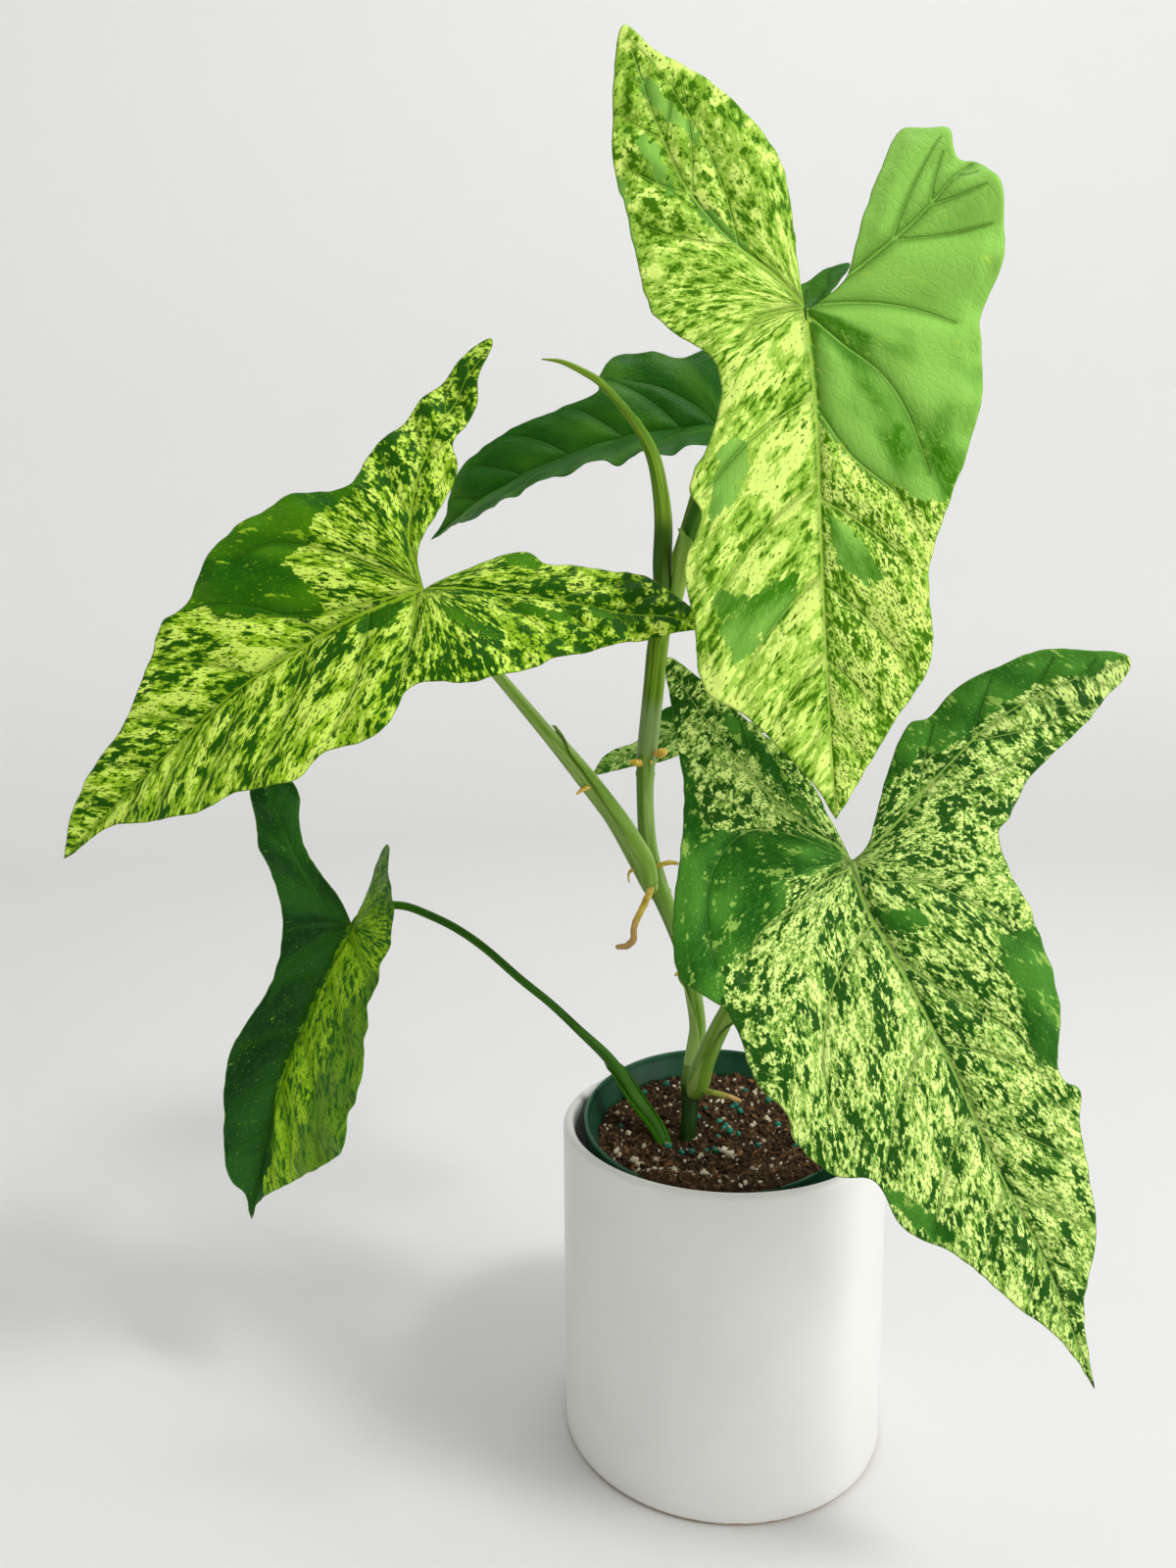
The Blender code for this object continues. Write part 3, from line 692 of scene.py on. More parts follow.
    def flow(self, flat, sign):
        """Coordinates along and across the direction in which the side veins run."""
        slant = math.radians(50)
        across = np.maximum(sign * (flat[:, 0] - self.midrib_at(flat[:, 1])), 0)
        along = flat[:, 1] - 0.004 * across ** 2
        ahead = (along - across / math.tan(slant)) * math.sin(slant)
        angle = np.arctan2(across, along)
        fan = -FAN_SCALE * (angle - slant)
        run = np.where(ahead >= 0, across / math.sin(slant), np.hypot(across, along))
        seed = np.full(len(flat), SIDE_SEED * self.index + 15.0 * sign)
        return np.stack([run, np.where(ahead >= 0, ahead, fan), seed], axis=1)


def leaf_points(leaf):
    """Flat points of a blade: outline, rows along the veins, then an even field."""
    outline = leaf.outline
    vein_rows = []
    for points, _, _ in leaf.veins:
        across = VEIN_ROW * beside(np.gradient(points, axis=0))
        vein_rows += [points, points + across, points - across]
    low, high = outline.min(axis=0), outline.max(axis=0)
    columns = np.array(FIELD_COLUMNS)
    field_rows = []
    for j in FIELD_ROWS:
        x = (columns + 0.5 * (j % 2)) * FIELD_STEP
        field_rows.append(np.stack([x, np.full(len(columns), j * FIELD_STEP * ROW_SHARE)], axis=1))
    field = np.vstack(field_rows)
    field = field[((field > low) & (field < high)).all(axis=1)]
    result = []
    used = {}

    def cell_of(p):
        return int(p[0] // CELL), int(p[1] // CELL)

    def free(p, gap):
        column, row = cell_of(p)
        for i in range(column - 1, column + 2):
            for j in range(row - 1, row + 2):
                for q in used.get((i, j), ()):
                    if (p[0] - q[0]) ** 2 + (p[1] - q[1]) ** 2 < gap * gap:
                        return False
        return True

    def take(points, gap, from_rim):
        points = points[inside(leaf.edges, points)]
        for p in points[leaf.rim_distance(points) > from_rim]:
            if free(p, gap):
                used.setdefault(cell_of(p), []).append(tuple(p))
                result.append(tuple(p))

    inset = RIM_ROW * beside(outline - np.roll(outline, 1, axis=0))
    for row in (outline + inset, outline - inset):
        take(row, 0.55, 0.5)
    take(np.vstack(vein_rows), 0.5, 0.6)
    take(field, 0.85, 0.9)
    return np.array([tuple(p) for p in outline] + result)


def leaf_mesh(leaf):
    """Closed blade with sunken veins above, raised veins below and a thin rim."""
    flat = leaf_points(leaf)
    loop = list(range(len(leaf.outline)))
    result = delaunay_2d_cdt([Vector(p) for p in flat], [], [loop], 1, 1e-6)
    flat = np.array([(p.x, p.y) for p in result[0]])
    faces = np.array([f for f in result[2] if len(f) == 3])
    corner = flat[faces]
    turn = np.cross(corner[:, 1] - corner[:, 0], corner[:, 2] - corner[:, 0])
    faces[turn < 0] = faces[turn < 0][:, ::-1]

    rim = leaf.rim_distance(flat)
    near, mark, width = leaf.vein_fields(flat)
    depth = leaf.sector_depth(flat)
    place = leaf.bent(flat)
    normal = leaf.normals(flat)

    size = min(1.0, leaf.length / FULL_LENGTH)
    inner = smoothstep(0, 7 * size, rim)
    quilt = 1.15 * size * (1 - np.exp(-(near / 3.4) ** 2)) * inner
    sway = rough(flat, 16, 7 + leaf.index)
    flutter = rough(flat, 6, 31 + leaf.index)
    edge_share = smoothstep(9 * size, 0, rim) * smoothstep(0, 25, np.linalg.norm(flat, axis=1))
    edge_share = edge_share * (0.25 + 0.75 * leaf.lobe_fade(flat))
    wave = 0.9 * size * sway + 0.7 * size * leaf.ripple(flat) * flutter * edge_share
    gap_mm = mark * width
    groove = 0.75 * width * np.exp(-(gap_mm / (1.5 * width + 0.25)) ** 2)
    ridge = 1.5 * width * np.exp(-(gap_mm / (1.1 * width + 0.2)) ** 2) * smoothstep(0, 1.5, rim)
    collective = 0.14 * size * np.exp(-((rim - 3.0 * size) / 0.7) ** 2)
    taper = smoothstep(0, 0.9, rim)
    middle = quilt + wave - groove - collective
    half = 0.5 * BLADE_THICKNESS * taper
    upper = place + normal * (middle + half)[:, None]
    lower = place + normal * (middle - half - ridge)[:, None]

    on_rim = rim < 0.02
    below_index = np.arange(len(flat))
    below_index[~on_rim] = len(flat) + np.arange((~on_rim).sum())
    upper[on_rim] = (place + normal * middle[:, None])[on_rim]
    points = np.vstack([upper, lower[~on_rim]]) * MM
    under = below_index[faces][:, ::-1]
    every = np.vstack([faces, under])

    mesh = bpy.data.meshes.new(leaf.name + "_blade")
    mesh.from_pydata(points.tolist(), [], every.tolist())
    for key, values in (("vein", mark), ("rim", rim), ("sector", depth)):
        full = np.concatenate([values, values[~on_rim]])
        mesh.attributes.new(key, "FLOAT", "POINT").data.foreach_set("value", full.astype(np.float32))
    centres = flat[faces].mean(axis=1)
    sign = np.where(centres[:, 0] - leaf.midrib_at(centres[:, 1]) >= 0, 1, -1)
    corners = flat[faces].reshape(-1, 2)
    runs = np.where(np.repeat(sign, 3)[:, None] > 0, leaf.flow(corners, 1), leaf.flow(corners, -1))
    runs = runs.reshape(-1, 3, 3)
    both = np.concatenate([runs, runs[:, ::-1]]).reshape(-1)
    mesh.attributes.new("flow", "FLOAT_VECTOR", "CORNER").data.foreach_set("vector", both.astype(np.float32))
    slots = np.concatenate([np.zeros(len(faces)), np.ones(len(faces))]).astype(np.int32)
    mesh.polygons.foreach_set("material_index", slots)
    mesh.shade_smooth()
    return mesh


# Colours of a blade, then: level is how light they all are, streak how drawn out
# its pattern is, lobe how much more green its basal lobes hold, painted_lobe_sheen how
# much painted sheen lightens a plain lobe, drops the edge for lime drops on plain
# green, shine its specular level and roughness, band where its outer green band
# starts in millimetres, blotch how large its dark blotches are, flake the edge for
# pale flakes, and edges the values over which each tone shows. Where a look has
# two values, the right half comes first.
BLADE_LOOKS = {
    "leaf_top": {
        "pale": (216, 240, 120), "lime": (168, 208, 78), "middle": (124, 172, 42), "dark": (62, 114, 0),
        "sector": (60, 124, 6), "sector_light": (142, 198, 84), "level": 1.08, "streak": (2.2, 1.1),
        "lobe": (0.02, 0.0), "painted_lobe_sheen": 1.3, "drops": 0.66, "shine": (0.08, 0.36),
        "blotch": 0.2, "flake": 0.59,
        "edges": {"lime": (0.475, 0.50), "middle": (0.54, 0.545), "dark": (0.595, 0.57),
                  "speck": (0.625, 0.55)},
    },
    "leaf_left": {
        "pale": (208, 238, 96), "lime": (154, 196, 38), "middle": (102, 150, 4), "dark": (28, 84, 0),
        "sector": (28, 90, 0), "sector_light": (70, 128, 2), "level": 0.96, "streak": (2.2, 2.2),
        "lobe": (0.02, 0.02), "painted_lobe_sheen": 0.2, "drops": 0.64, "shine": (0.08, 0.36),
        "blotch": 0.3, "flake": 0.58,
        "edges": {"lime": (0.475, 0.475), "middle": (0.53, 0.53), "dark": (0.55, 0.55),
                  "speck": (0.58, 0.58)},
    },
    "leaf_right": {
        "pale": (222, 244, 140), "lime": (150, 190, 82), "middle": (100, 148, 46), "dark": (26, 80, 12),
        "sector": (28, 88, 12), "sector_light": (70, 132, 38), "level": 1.03, "streak": (0.95, 0.9),
        "lobe": (0.012, 0.012), "painted_lobe_sheen": 0.0, "drops": 0.60, "shine": (0.08, 0.36),
        "blotch": 0.6, "flake": 0.535,
        "edges": {"lime": (0.435, 0.43), "middle": (0.53, 0.525), "dark": (0.54, 0.54),
                  "speck": (0.585, 0.585)},
    },
    "leaf_low": {
        "pale": (156, 198, 36), "lime": (134, 184, 12), "middle": (100, 152, 2), "dark": (36, 94, 0),
        "sector": (4, 60, 6), "sector_light": (36, 92, 24), "level": 1.0, "streak": (1.8, 1.8),
        "lobe": (0.0, 0.03), "painted_lobe_sheen": 0.0, "drops": 0.68, "shine": (0.14, 0.3), "band": 27,
        "blotch": 0.3, "flake": 0.60,
        "edges": {"lime": (0.47, 0.47), "middle": (0.53, 0.53), "dark": (0.555, 0.555),
                  "speck": (0.58, 0.58)},
    },
    "leaf_back": {
        "pale": (84, 130, 40), "lime": (66, 116, 22), "middle": (46, 102, 8), "dark": (22, 80, 0),
        "sector": (24, 86, 0), "sector_light": (58, 114, 12), "level": 0.92, "streak": (2.0, 2.0),
        "lobe": (0.0, 0.0), "painted_lobe_sheen": 0.0, "drops": 0.74, "shine": (0.11, 0.28),
        "blotch": 0.2, "flake": 0.62,
        "edges": {"lime": (0.50, 0.50), "middle": (0.54, 0.54), "dark": (0.58, 0.58),
                  "speck": (0.62, 0.62)},
    },
    "leaf_small": {
        "pale": (184, 214, 116), "lime": (140, 182, 76), "middle": (90, 142, 44), "dark": (38, 96, 16),
        "sector": (34, 96, 14), "sector_light": (78, 134, 40), "level": 0.88, "streak": (1.5, 1.5),
        "lobe": (0.0, 0.0), "painted_lobe_sheen": 0.0, "drops": 0.66, "shine": (0.08, 0.36),
        "blotch": 0.3, "flake": 0.58,
        "edges": {"lime": (0.47, 0.47), "middle": (0.52, 0.52), "dark": (0.54, 0.54),
                  "speck": (0.58, 0.58)},
    },
}


# Dull green that veils the lower faces
UNDERSIDE = (140, 164, 116)


def toned(look, key, level=1.0):
    """Linear colour of one tone of a blade."""
    level = level * look["level"]
    return (*[part * level for part in srgb(*look[key])[:3]], 1.0)


def variegation(finish, look, index):
    """Colour of the upper face: pale ground, blotches, flecks, specks and green sectors."""
    run, across, seed = finish.split(finish.attribute("flow", "Vector"))
    right = seed.above(SIDE_SEED * index, 1.0)

    def by_side(pair):
        return right * (pair[0] - pair[1]) + pair[1]

    in_lobe = across.below(-14, 9)
    lobe = by_side(look["lobe"]) * in_lobe
    drawn = (run / by_side(look["streak"]), across, seed)

    def pattern(length, width, shift, detail, roughness):
        return finish.noise(finish.stretched(drawn, length, width, shift), 1, detail, roughness)

    def over(value, key, softness=0.012):
        return (value + lobe - by_side(look["edges"][key])).above(0.0, softness)

    region = pattern(13, 15, 3.1, 2, 0.5) - 0.5
    patch = pattern(4.6, 4.6, 7.7, 5, 0.62)
    fleck = pattern(1.8, 1.8, 11.3, 4, 0.56)
    speck = pattern(0.75, 0.75, 17.9, 2, 0.6)
    ground = over(0.75 * patch + 0.25 * fleck + 0.12 * region, "lime", 0.01)
    colour = finish.mix(ground, toned(look, "pale", 1.08), toned(look, "lime"))
    islands = over(0.6 * fleck + 0.4 * patch + 0.2 * region, "middle")
    colour = finish.mix(islands * 0.85, colour, toned(look, "middle"))
    flake = (1 - (0.6 * fleck + 0.4 * speck)).above(look["flake"], 0.012)
    colour = finish.mix(flake * 0.9, colour, toned(look, "pale", 1.08))
    blotch = (1 - look["blotch"]) * fleck + look["blotch"] * patch
    colour = finish.mix(over(blotch + 0.3 * region, "dark") * 0.96, colour, toned(look, "dark"))
    specks = over(speck + 0.15 * (fleck - 0.5) + 0.12 * region, "speck")
    colour = finish.mix(specks * 0.9, colour, toned(look, "dark"))
    if "band" in look:
        outer = (run + 26 * (patch - 0.5) - 40 * right).above(look["band"], 3)
        colour = finish.mix(outer * 0.62, colour, toned(look, "sector_light"))

    ragged = finish.noise(finish.stretched((run, across, seed), 4.5, 2.6, 23.3), 1, 5, 0.68)
    depth = finish.attribute("sector") + 9 * (ragged - 0.5)
    plain = depth.above(0.0, 0.16)
    # Painted sheen: large soft clouds in the plain sectors, and the plain basal lobes by painted_lobe_sheen,
    # are lighter towards sector_light, for sheen on the blade.
    light = pattern(20, 20, 29.1, 2, 0.5)
    painted_sheen = light + in_lobe * (1 - right) * (0.2 * look["painted_lobe_sheen"])
    green = finish.mix(painted_sheen.above(0.5, 0.13), toned(look, "sector"), toned(look, "sector_light"))
    green = finish.mix(fleck.above(0.54, 0.05) * 0.22, green, toned(look, "sector_light"))
    drops = (0.7 * patch + 0.3 * fleck).above(look["drops"] - 0.03, 0.01)
    green = finish.mix(drops * 0.8, green, toned(look, "lime"))
    dots = (1 - speck).above(0.66, 0.02)
    green = finish.mix(dots * 0.5, green, toned(look, "lime"))
    colour = finish.mix(plain, colour, green)
    return colour, plain, light


def blade_finishes(name, index):
    """Finishes of the upper and the lower face of a blade."""
    look = BLADE_LOOKS[name]
    specular, roughness = look["shine"]
    upper = Finish(name + "_upper", Specular_IOR_Level=specular)
    colour, plain, light = variegation(upper, look, index)
    vein = upper.attribute("vein")
    rim = upper.attribute("rim")
    # Painted shade: the blade is darkened in the valleys round its veins, and more in a narrow band beside
    # each vein, for the shade of its quilted relief.
    painted_valley_shade = 1 - vein.above(4.5, 4.5)
    colour = upper.mix(painted_valley_shade * (0.16 + 0.3 * plain), colour, toned(look, "dark"))
    side_shade = 1 - vein.above(1.9, 1.1)
    colour = upper.mix(side_shade * 0.42, colour, toned(look, "dark", 0.8))
    vein_colour = upper.mix(plain, toned(look, "lime"), toned(look, "sector_light", 1.25))
    colour = upper.mix((1 - vein.above(0.55, 0.3)) * (0.85 - 0.3 * plain), colour, vein_colour)
    colour = upper.mix(rim.below(0.3, 0.2) * 0.6, colour, toned(look, "middle"))
    spot = upper.place()
    net = upper.net(upper.attribute("flow", "Vector"), 2.6)
    grain = upper.noise(spot, 0.5, 2)
    puff = upper.noise(spot, 3.4, 2)
    dent = vein.above(1.0, 1.0) * 1.4
    normal = upper.bump(net.above(0.1, 0.1) * 0.4 + puff * 0.9 + grain * 0.16 + dent, 0.24, 0.7)
    upper.set(Base_Color=colour, Roughness=roughness + 0.16 * light + 0.06 * grain, Normal=normal)

    under = Finish(name + "_under", Specular_IOR_Level=0.2)
    colour, plain, light = variegation(under, look, index)
    veil = [0.5 * c + 0.5 * d for c, d in zip(look["lime"], UNDERSIDE)]
    colour = under.mix(0.5, colour, srgb(*[0.9 * c for c in veil]))
    vein_mask = 1 - under.attribute("vein").above(1.15, 0.6)
    colour = under.mix(vein_mask * 0.7, colour, srgb(*[min(255, c + 16) for c in veil]))
    spot = under.place()
    net = under.net(under.attribute("flow", "Vector"), 2.2)
    grain = under.noise(spot, 0.5, 2)
    normal = under.bump((1 - net.above(0.09, 0.09)) * 0.6 + grain * 0.3, 0.15, 0.6)
    under.set(Base_Color=colour, Roughness=0.55 + 0.12 * grain, Normal=normal)
    return upper.material, under.material


def add_piece(name, mesh, materials, slot, *nodes):
    """A finished piece that rides on the frame and stands for CAD nodes."""
    piece = bpy.data.objects.new(name, mesh)
    bpy.context.scene.collection.objects.link(piece)
    for material in materials:
        mesh.materials.append(material)
    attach(piece, "root")
    if nodes:
        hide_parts(*nodes)
    return piece


def make_leaves():
    for index, (name, drawing) in enumerate(LEAVES.items()):
        mesh = leaf_mesh(Leaf(name, drawing, index))
        slot = "leaf_dark" if name == "leaf_back" else "leaf_mottled"
        add_piece(name + "_blade", mesh, blade_finishes(name, index), slot, name)


# Stems
# (x, y, z, radius) from the root end to the free end
STEMS = {
    "main_stem": [(-13.3, -2.6, 106.0, 3.0), (-12.9, -0.6, 115.6, 3.0), (-12.4, 3.0, 124.0, 3.1),
                  (-12.2, 6.4, 131.0, 3.9), (-11.9, 7.2, 135.0, 3.7), (-10.4, 8.6, 146.0, 3.0),
                  (-9.9, 9.0, 156.0, 2.9), (-13.7, 8.0, 177.0, 3.0), (-19.6, 6.0, 194.5, 3.2),
                  (-25.0, 4.2, 208.5, 3.9), (-26.6, 3.6, 214.0, 3.9), (-27.6, 3.4, 219.0, 3.3),
                  (-29.0, 3.0, 228.5, 3.2), (-29.6, 2.4, 243.0, 3.1), (-29.3, 2.0, 255.5, 3.5),
                  (-29.0, 2.0, 260.0, 3.4)],
    "petiole_top": [(-19.4, -4.6, 308.0, 1.8), (-16.8, -6.6, 321.0, 2.2), (-14.6, -9.6, 331.0, 2.5),
                    (-11.0, -14.0, 343.0, 2.6), (-2.0, -28.0, 362.8, 2.4), (9.0, -44.0, 381.0, 2.2),
                    (16.0, -56.0, 390.5, 2.0), (20.2, -65.0, 394.0, 1.6), (20.8, -67.2, 392.6, 1.0),
                    (21.3, -68.2, 387.6, 0.5)],
    "petiole_left": [(-27.4, 0.6, 208.5, 3.0), (-30.0, -2.4, 217.5, 4.0), (-33.5, -4.8, 225.0, 3.8),
                     (-38.8, -8.0, 234.7, 3.5), (-49.3, -17.0, 251.2, 3.2), (-60.5, -27.0, 267.7, 2.5),
                     (-74.5, -39.0, 287.7, 2.0), (-85.7, -47.0, 303.0, 1.8), (-93.0, -54.4, 313.6, 1.6),
                     (-95.8, -57.2, 315.2, 1.1), (-99.4, -59.0, 313.4, 0.5)],
    "petiole_right": [(-11.0, 4.0, 127.0, 2.6), (-9.6, 0.6, 134.0, 4.0), (-6.4, -4.0, 146.5, 3.6),
                      (1.1, -14.0, 166.8, 3.1), (13.4, -31.0, 193.8, 2.5), (26.2, -52.0, 218.5, 2.1),
                      (33.0, -64.0, 229.6, 1.8), (37.0, -73.2, 234.6, 1.4), (37.8, -75.2, 233.6, 0.9),
                      (39.6, -76.6, 229.6, 0.5)],
    "petiole_low": [(-19.6, -7.6, 107.0, 2.2), (-24.2, -3.0, 115.8, 2.4), (-32.7, 3.0, 125.0, 2.5),
                    (-42.9, 7.0, 138.4, 2.2), (-55.8, 9.0, 150.0, 1.75), (-66.4, 9.0, 159.9, 1.6),
                    (-78.3, 10.0, 169.0, 1.6), (-92.0, 11.0, 180.4, 1.6), (-103.4, 12.0, 187.8, 1.6),
                    (-114.2, 12.0, 193.0, 1.6), (-124.2, 12.0, 196.4, 1.6), (-133.7, 10.4, 196.4, 1.6),
                    (-139.8, 6.0, 193.6, 1.4), (-142.4, 2.9, 190.2, 0.9), (-143.4, 1.8, 186.4, 0.5)],
    "petiole_back": [(-29.4, 2.0, 254.6, 2.6), (-29.2, 2.0, 257.0, 3.7), (-28.4, 2.0, 264.0, 3.9),
                     (-26.5, 2.0, 282.7, 3.9), (-24.8, 2.4, 299.5, 3.9), (-21.3, 3.2, 317.0, 3.3),
                     (-17.0, 7.0, 333.0, 2.2), (-11.5, 19.0, 354.0, 1.9), (-6.8, 35.0, 370.0, 1.8),
                     (-4.4, 43.6, 376.4, 1.6), (-3.8, 45.6, 377.4, 1.0), (-7.6, 45.2, 377.6, 0.5)],
    "petiole_small": [(-14.0, 21.0, 108.0, 2.0), (-13.4, 22.0, 118.2, 2.0), (-10.5, 24.0, 140.0, 1.7),
                      (-9.6, 30.0, 175.0, 1.5), (-8.0, 39.0, 220.0, 1.4), (-7.6, 47.0, 250.0, 1.3),
                      (-8.5, 52.4, 264.2, 0.9), (-11.6, 52.8, 264.2, 0.4)],
    "new_leaf": [(-23.2, -4.2, 306.0, 2.4), (-23.0, -5.4, 316.0, 3.2), (-23.2, -5.6, 326.0, 3.5),
                 (-22.8, -6.0, 338.9, 3.3), (-23.7, -7.6, 349.7, 2.9), (-26.0, -9.0, 360.6, 2.4),
                 (-30.2, -11.0, 369.5, 1.9), (-35.8, -12.0, 377.2, 1.6), (-43.1, -12.0, 385.4, 1.4),
                 (-50.5, -11.0, 390.3, 1.2), (-57.6, -10.0, 393.6, 0.8), (-64.2, -9.0, 394.8, 0.25)],
    "aerial_root": [(-27.4, -1.6, 210.0, 1.3), (-27.9, -3.2, 206.6, 1.3), (-30.6, -5.4, 201.0, 1.25),
                    (-32.9, -7.0, 195.6, 1.25), (-33.1, -7.4, 191.2, 1.2), (-35.2, -7.4, 188.6, 1.3),
                    (-39.0, -7.4, 188.0, 0.9)],
    "surface_root": [(-11.8, 3.0, 130.4, 1.2), (-9.8, 1.2, 130.8, 1.2), (-6.6, -0.6, 130.9, 1.2),
                     (0.8, -3.0, 130.6, 1.15), (6.2, -3.4, 129.0, 0.8)],
}

# Short rootlets that only the fine model has
ROOTLETS = {
    "rootlet_left": [(-28.6, -1.4, 218.4, 1.0), (-31.4, -4.0, 217.1, 0.9), (-34.6, -4.4, 215.6, 0.6),
                     (-35.2, -4.4, 213.4, 0.35), (-34.9, -4.4, 211.5, 0.25)],
    "rootlet_right": [(-25.0, 0.6, 216.6, 0.9), (-23.0, 0.0, 217.5, 0.9), (-20.1, -0.2, 218.3, 0.85),
                      (-17.4, -0.4, 218.0, 0.6)],
    "rootlet_low": [(-14.8, 6.0, 176.6, 0.8), (-16.6, 3.4, 176.2, 0.7), (-18.2, 2.4, 174.8, 0.45)],
    "nub_left": [(-31.2, -0.6, 254.9, 1.5), (-33.0, -1.8, 255.2, 1.2), (-34.6, -2.2, 255.9, 0.5)],
    "nub_right": [(-25.4, -1.0, 258.4, 1.2), (-23.4, -2.0, 258.9, 1.7), (-22.0, -2.3, 259.4, 1.2)],
    "nub_middle": [(-27.4, -0.6, 255.6, 0.6), (-27.2, -2.2, 255.5, 0.6), (-27.1, -3.0, 255.4, 0.4)],
    "nub_petiole": [(-45.6, -16.4, 249.0, 0.8), (-49.4, -19.8, 248.2, 0.8), (-51.6, -21.0, 246.6, 0.45)],
}

# Leaf sheaths: the stem that each clasps, how far along it they start and end,
# the half angle that they wrap at the start and near the end, the side they
# open to, how far their free edge stands off, and how far their tip does
SHEATHS = {
    "sheath_low": {"stem": "petiole_low", "span": (2.0, 44.0), "wrap": (2.7, 1.5),
                   "opening": (-0.2, -0.3, 0.95), "thickness": 0.65, "flare": 0.5, "lift": 0.5},
    "sheath_left": {"stem": "petiole_left", "span": (1.5, 75.0), "wrap": (2.7, 1.3),
                    "opening": (-0.7, -0.7, -0.3), "thickness": 0.9, "flare": 0.5, "lift": 1.0},
    "sheath_right": {"stem": "petiole_right", "span": (1.0, 46.0), "wrap": (2.75, 1.2),
                     "opening": (-0.85, -0.3, 0.5), "thickness": 0.6, "flare": 0.7, "lift": 0.6},
    "sheath_top": {"stem": "petiole_top", "span": (1.0, 31.0), "wrap": (2.3, 1.3),
                   "opening": (0.75, 0.65, 0.0), "thickness": 0.6, "flare": 0.6, "lift": 1.5},
    "sheath_stem": {"stem": "main_stem", "span": (33.0, 71.0), "wrap": (2.6, 1.0),
                    "opening": (0.95, -0.3, 0.1), "thickness": 0.6, "flare": 1.3, "lift": 0.6},
}


def ring_frames(centres):
    """Tangent, camera-side and right-hand directions at each centre."""
    tangent = np.gradient(centres, axis=0)
    tangent /= np.linalg.norm(tangent, axis=1, keepdims=True)
    front = np.array((0.0, -1.0, 0.0)) - tangent * (-tangent[:, 1])[:, None]
    front /= np.linalg.norm(front, axis=1, keepdims=True)
    return tangent, front, np.cross(tangent, front)


def lofted(name, rings, flows, seed):
    """Closed mesh through rings of equal length, with its flow coordinates."""
    count, sides = rings.shape[:2]
    points = [*rings.reshape(-1, 3), rings[0].mean(axis=0), rings[-1].mean(axis=0)]
    faces = []
    for i in range(count - 1):
        for k in range(sides):
            a = i * sides + k
            b = i * sides + (k + 1) % sides
            faces.append((a, b, b + sides, a + sides))
    first, last = count * sides, count * sides + 1
    for k in range(sides):
        following = (k + 1) % sides
        faces.append((first, following, k))
        faces.append((last, (count - 1) * sides + k, (count - 1) * sides + following))
    mesh = bpy.data.meshes.new(name)
    mesh.from_pydata((np.array(points) * MM).tolist(), [], faces)
    values = [*flows.reshape(-1, 2), flows[0].mean(axis=0), flows[-1].mean(axis=0)]
    full = np.column_stack([np.array(values), np.full(len(values), seed)]).astype(np.float32)
    mesh.attributes.new("flow", "FLOAT_VECTOR", "POINT").data.foreach_set("vector", full.reshape(-1))
    mesh.shade_smooth()
    return mesh


def stem_mesh(name, points, seed, sides=28, section=None, step=1.0, knobbly=0.0):
    """Round tapering stem with softly closed ends."""
    path = path_through(points, step)
    centres, radius = path[:, :3], path[:, 3]
    tangent, front, aside = ring_frames(centres)
    along = np.concatenate([[0], np.cumsum(np.linalg.norm(np.diff(centres, axis=0), axis=1))])
    angles = np.linspace(0, 2 * math.pi, sides, endpoint=False)
    rings, flows = [], []

    def ring(i, shrink, push):
        share = section(along[i], angles) if section else np.ones(sides)
        size = radius[i] * share * shrink
        if knobbly:
            bumps = [noise.noise(Vector((along[i] / 2.2, math.cos(a), math.sin(a) + seed))) for a in angles]
            size = size * (1 + knobbly * np.array(bumps))
        centre = centres[i] + tangent[i] * push * radius[i]
        forward = np.outer(size * np.cos(angles), front[i])
        rings.append(centre + forward + np.outer(size * np.sin(angles), aside[i]))
        # The left half of each ring counts on from 20, so that the skin's finish can paint shade down that
        # side.
        around = np.abs(np.mod(angles + math.pi, 2 * math.pi) - math.pi) * radius[i]
        flows.append(np.stack([np.full(sides, along[i]), around + 20 * (angles > math.pi)], axis=1))

    cap = ((0.75, 0.45), (0.5, 0.78), (0.22, 0.95))
    for push, shrink in cap:
        ring(0, shrink, -push)
    for i in range(len(centres)):
        ring(i, 1.0, 0.0)
    for push, shrink in reversed(cap):
        ring(len(centres) - 1, shrink, push)
    return lofted(name, np.array(rings), np.array(flows), seed)


def lapped(turns, start=0.6, height=0.10):
    """Section of a rolled leaf or sheath whose free edge laps over itself."""
    def section(along, angles):
        edge = np.mod(angles - start - turns * along, 2 * math.pi) / (2 * math.pi)
        return 1 + height * (1 - smoothstep(0.0, 0.07, edge)) - 0.5 * height * edge
    return section


def fluted(along, angles):
    """Petiole section with a shallow channel on its upper side."""
    return 1 - 0.10 * np.exp(-((angles - 0.7) / 0.45) ** 2) + 0.02 * np.cos(5 * angles)


def noded(*places):
    """Stem section with a thin scar ring at each leaf node."""
    def section(along, angles):
        share = 1 + 0.015 * np.cos(4 * angles + 1)
        for place in places:
            scar = 0.10 * math.exp(-((along - place) / 0.7) ** 2)
            groove = 0.04 * math.exp(-((along - place - 1.6) / 0.7) ** 2)
            share = share + scar - groove
        return share
    return section


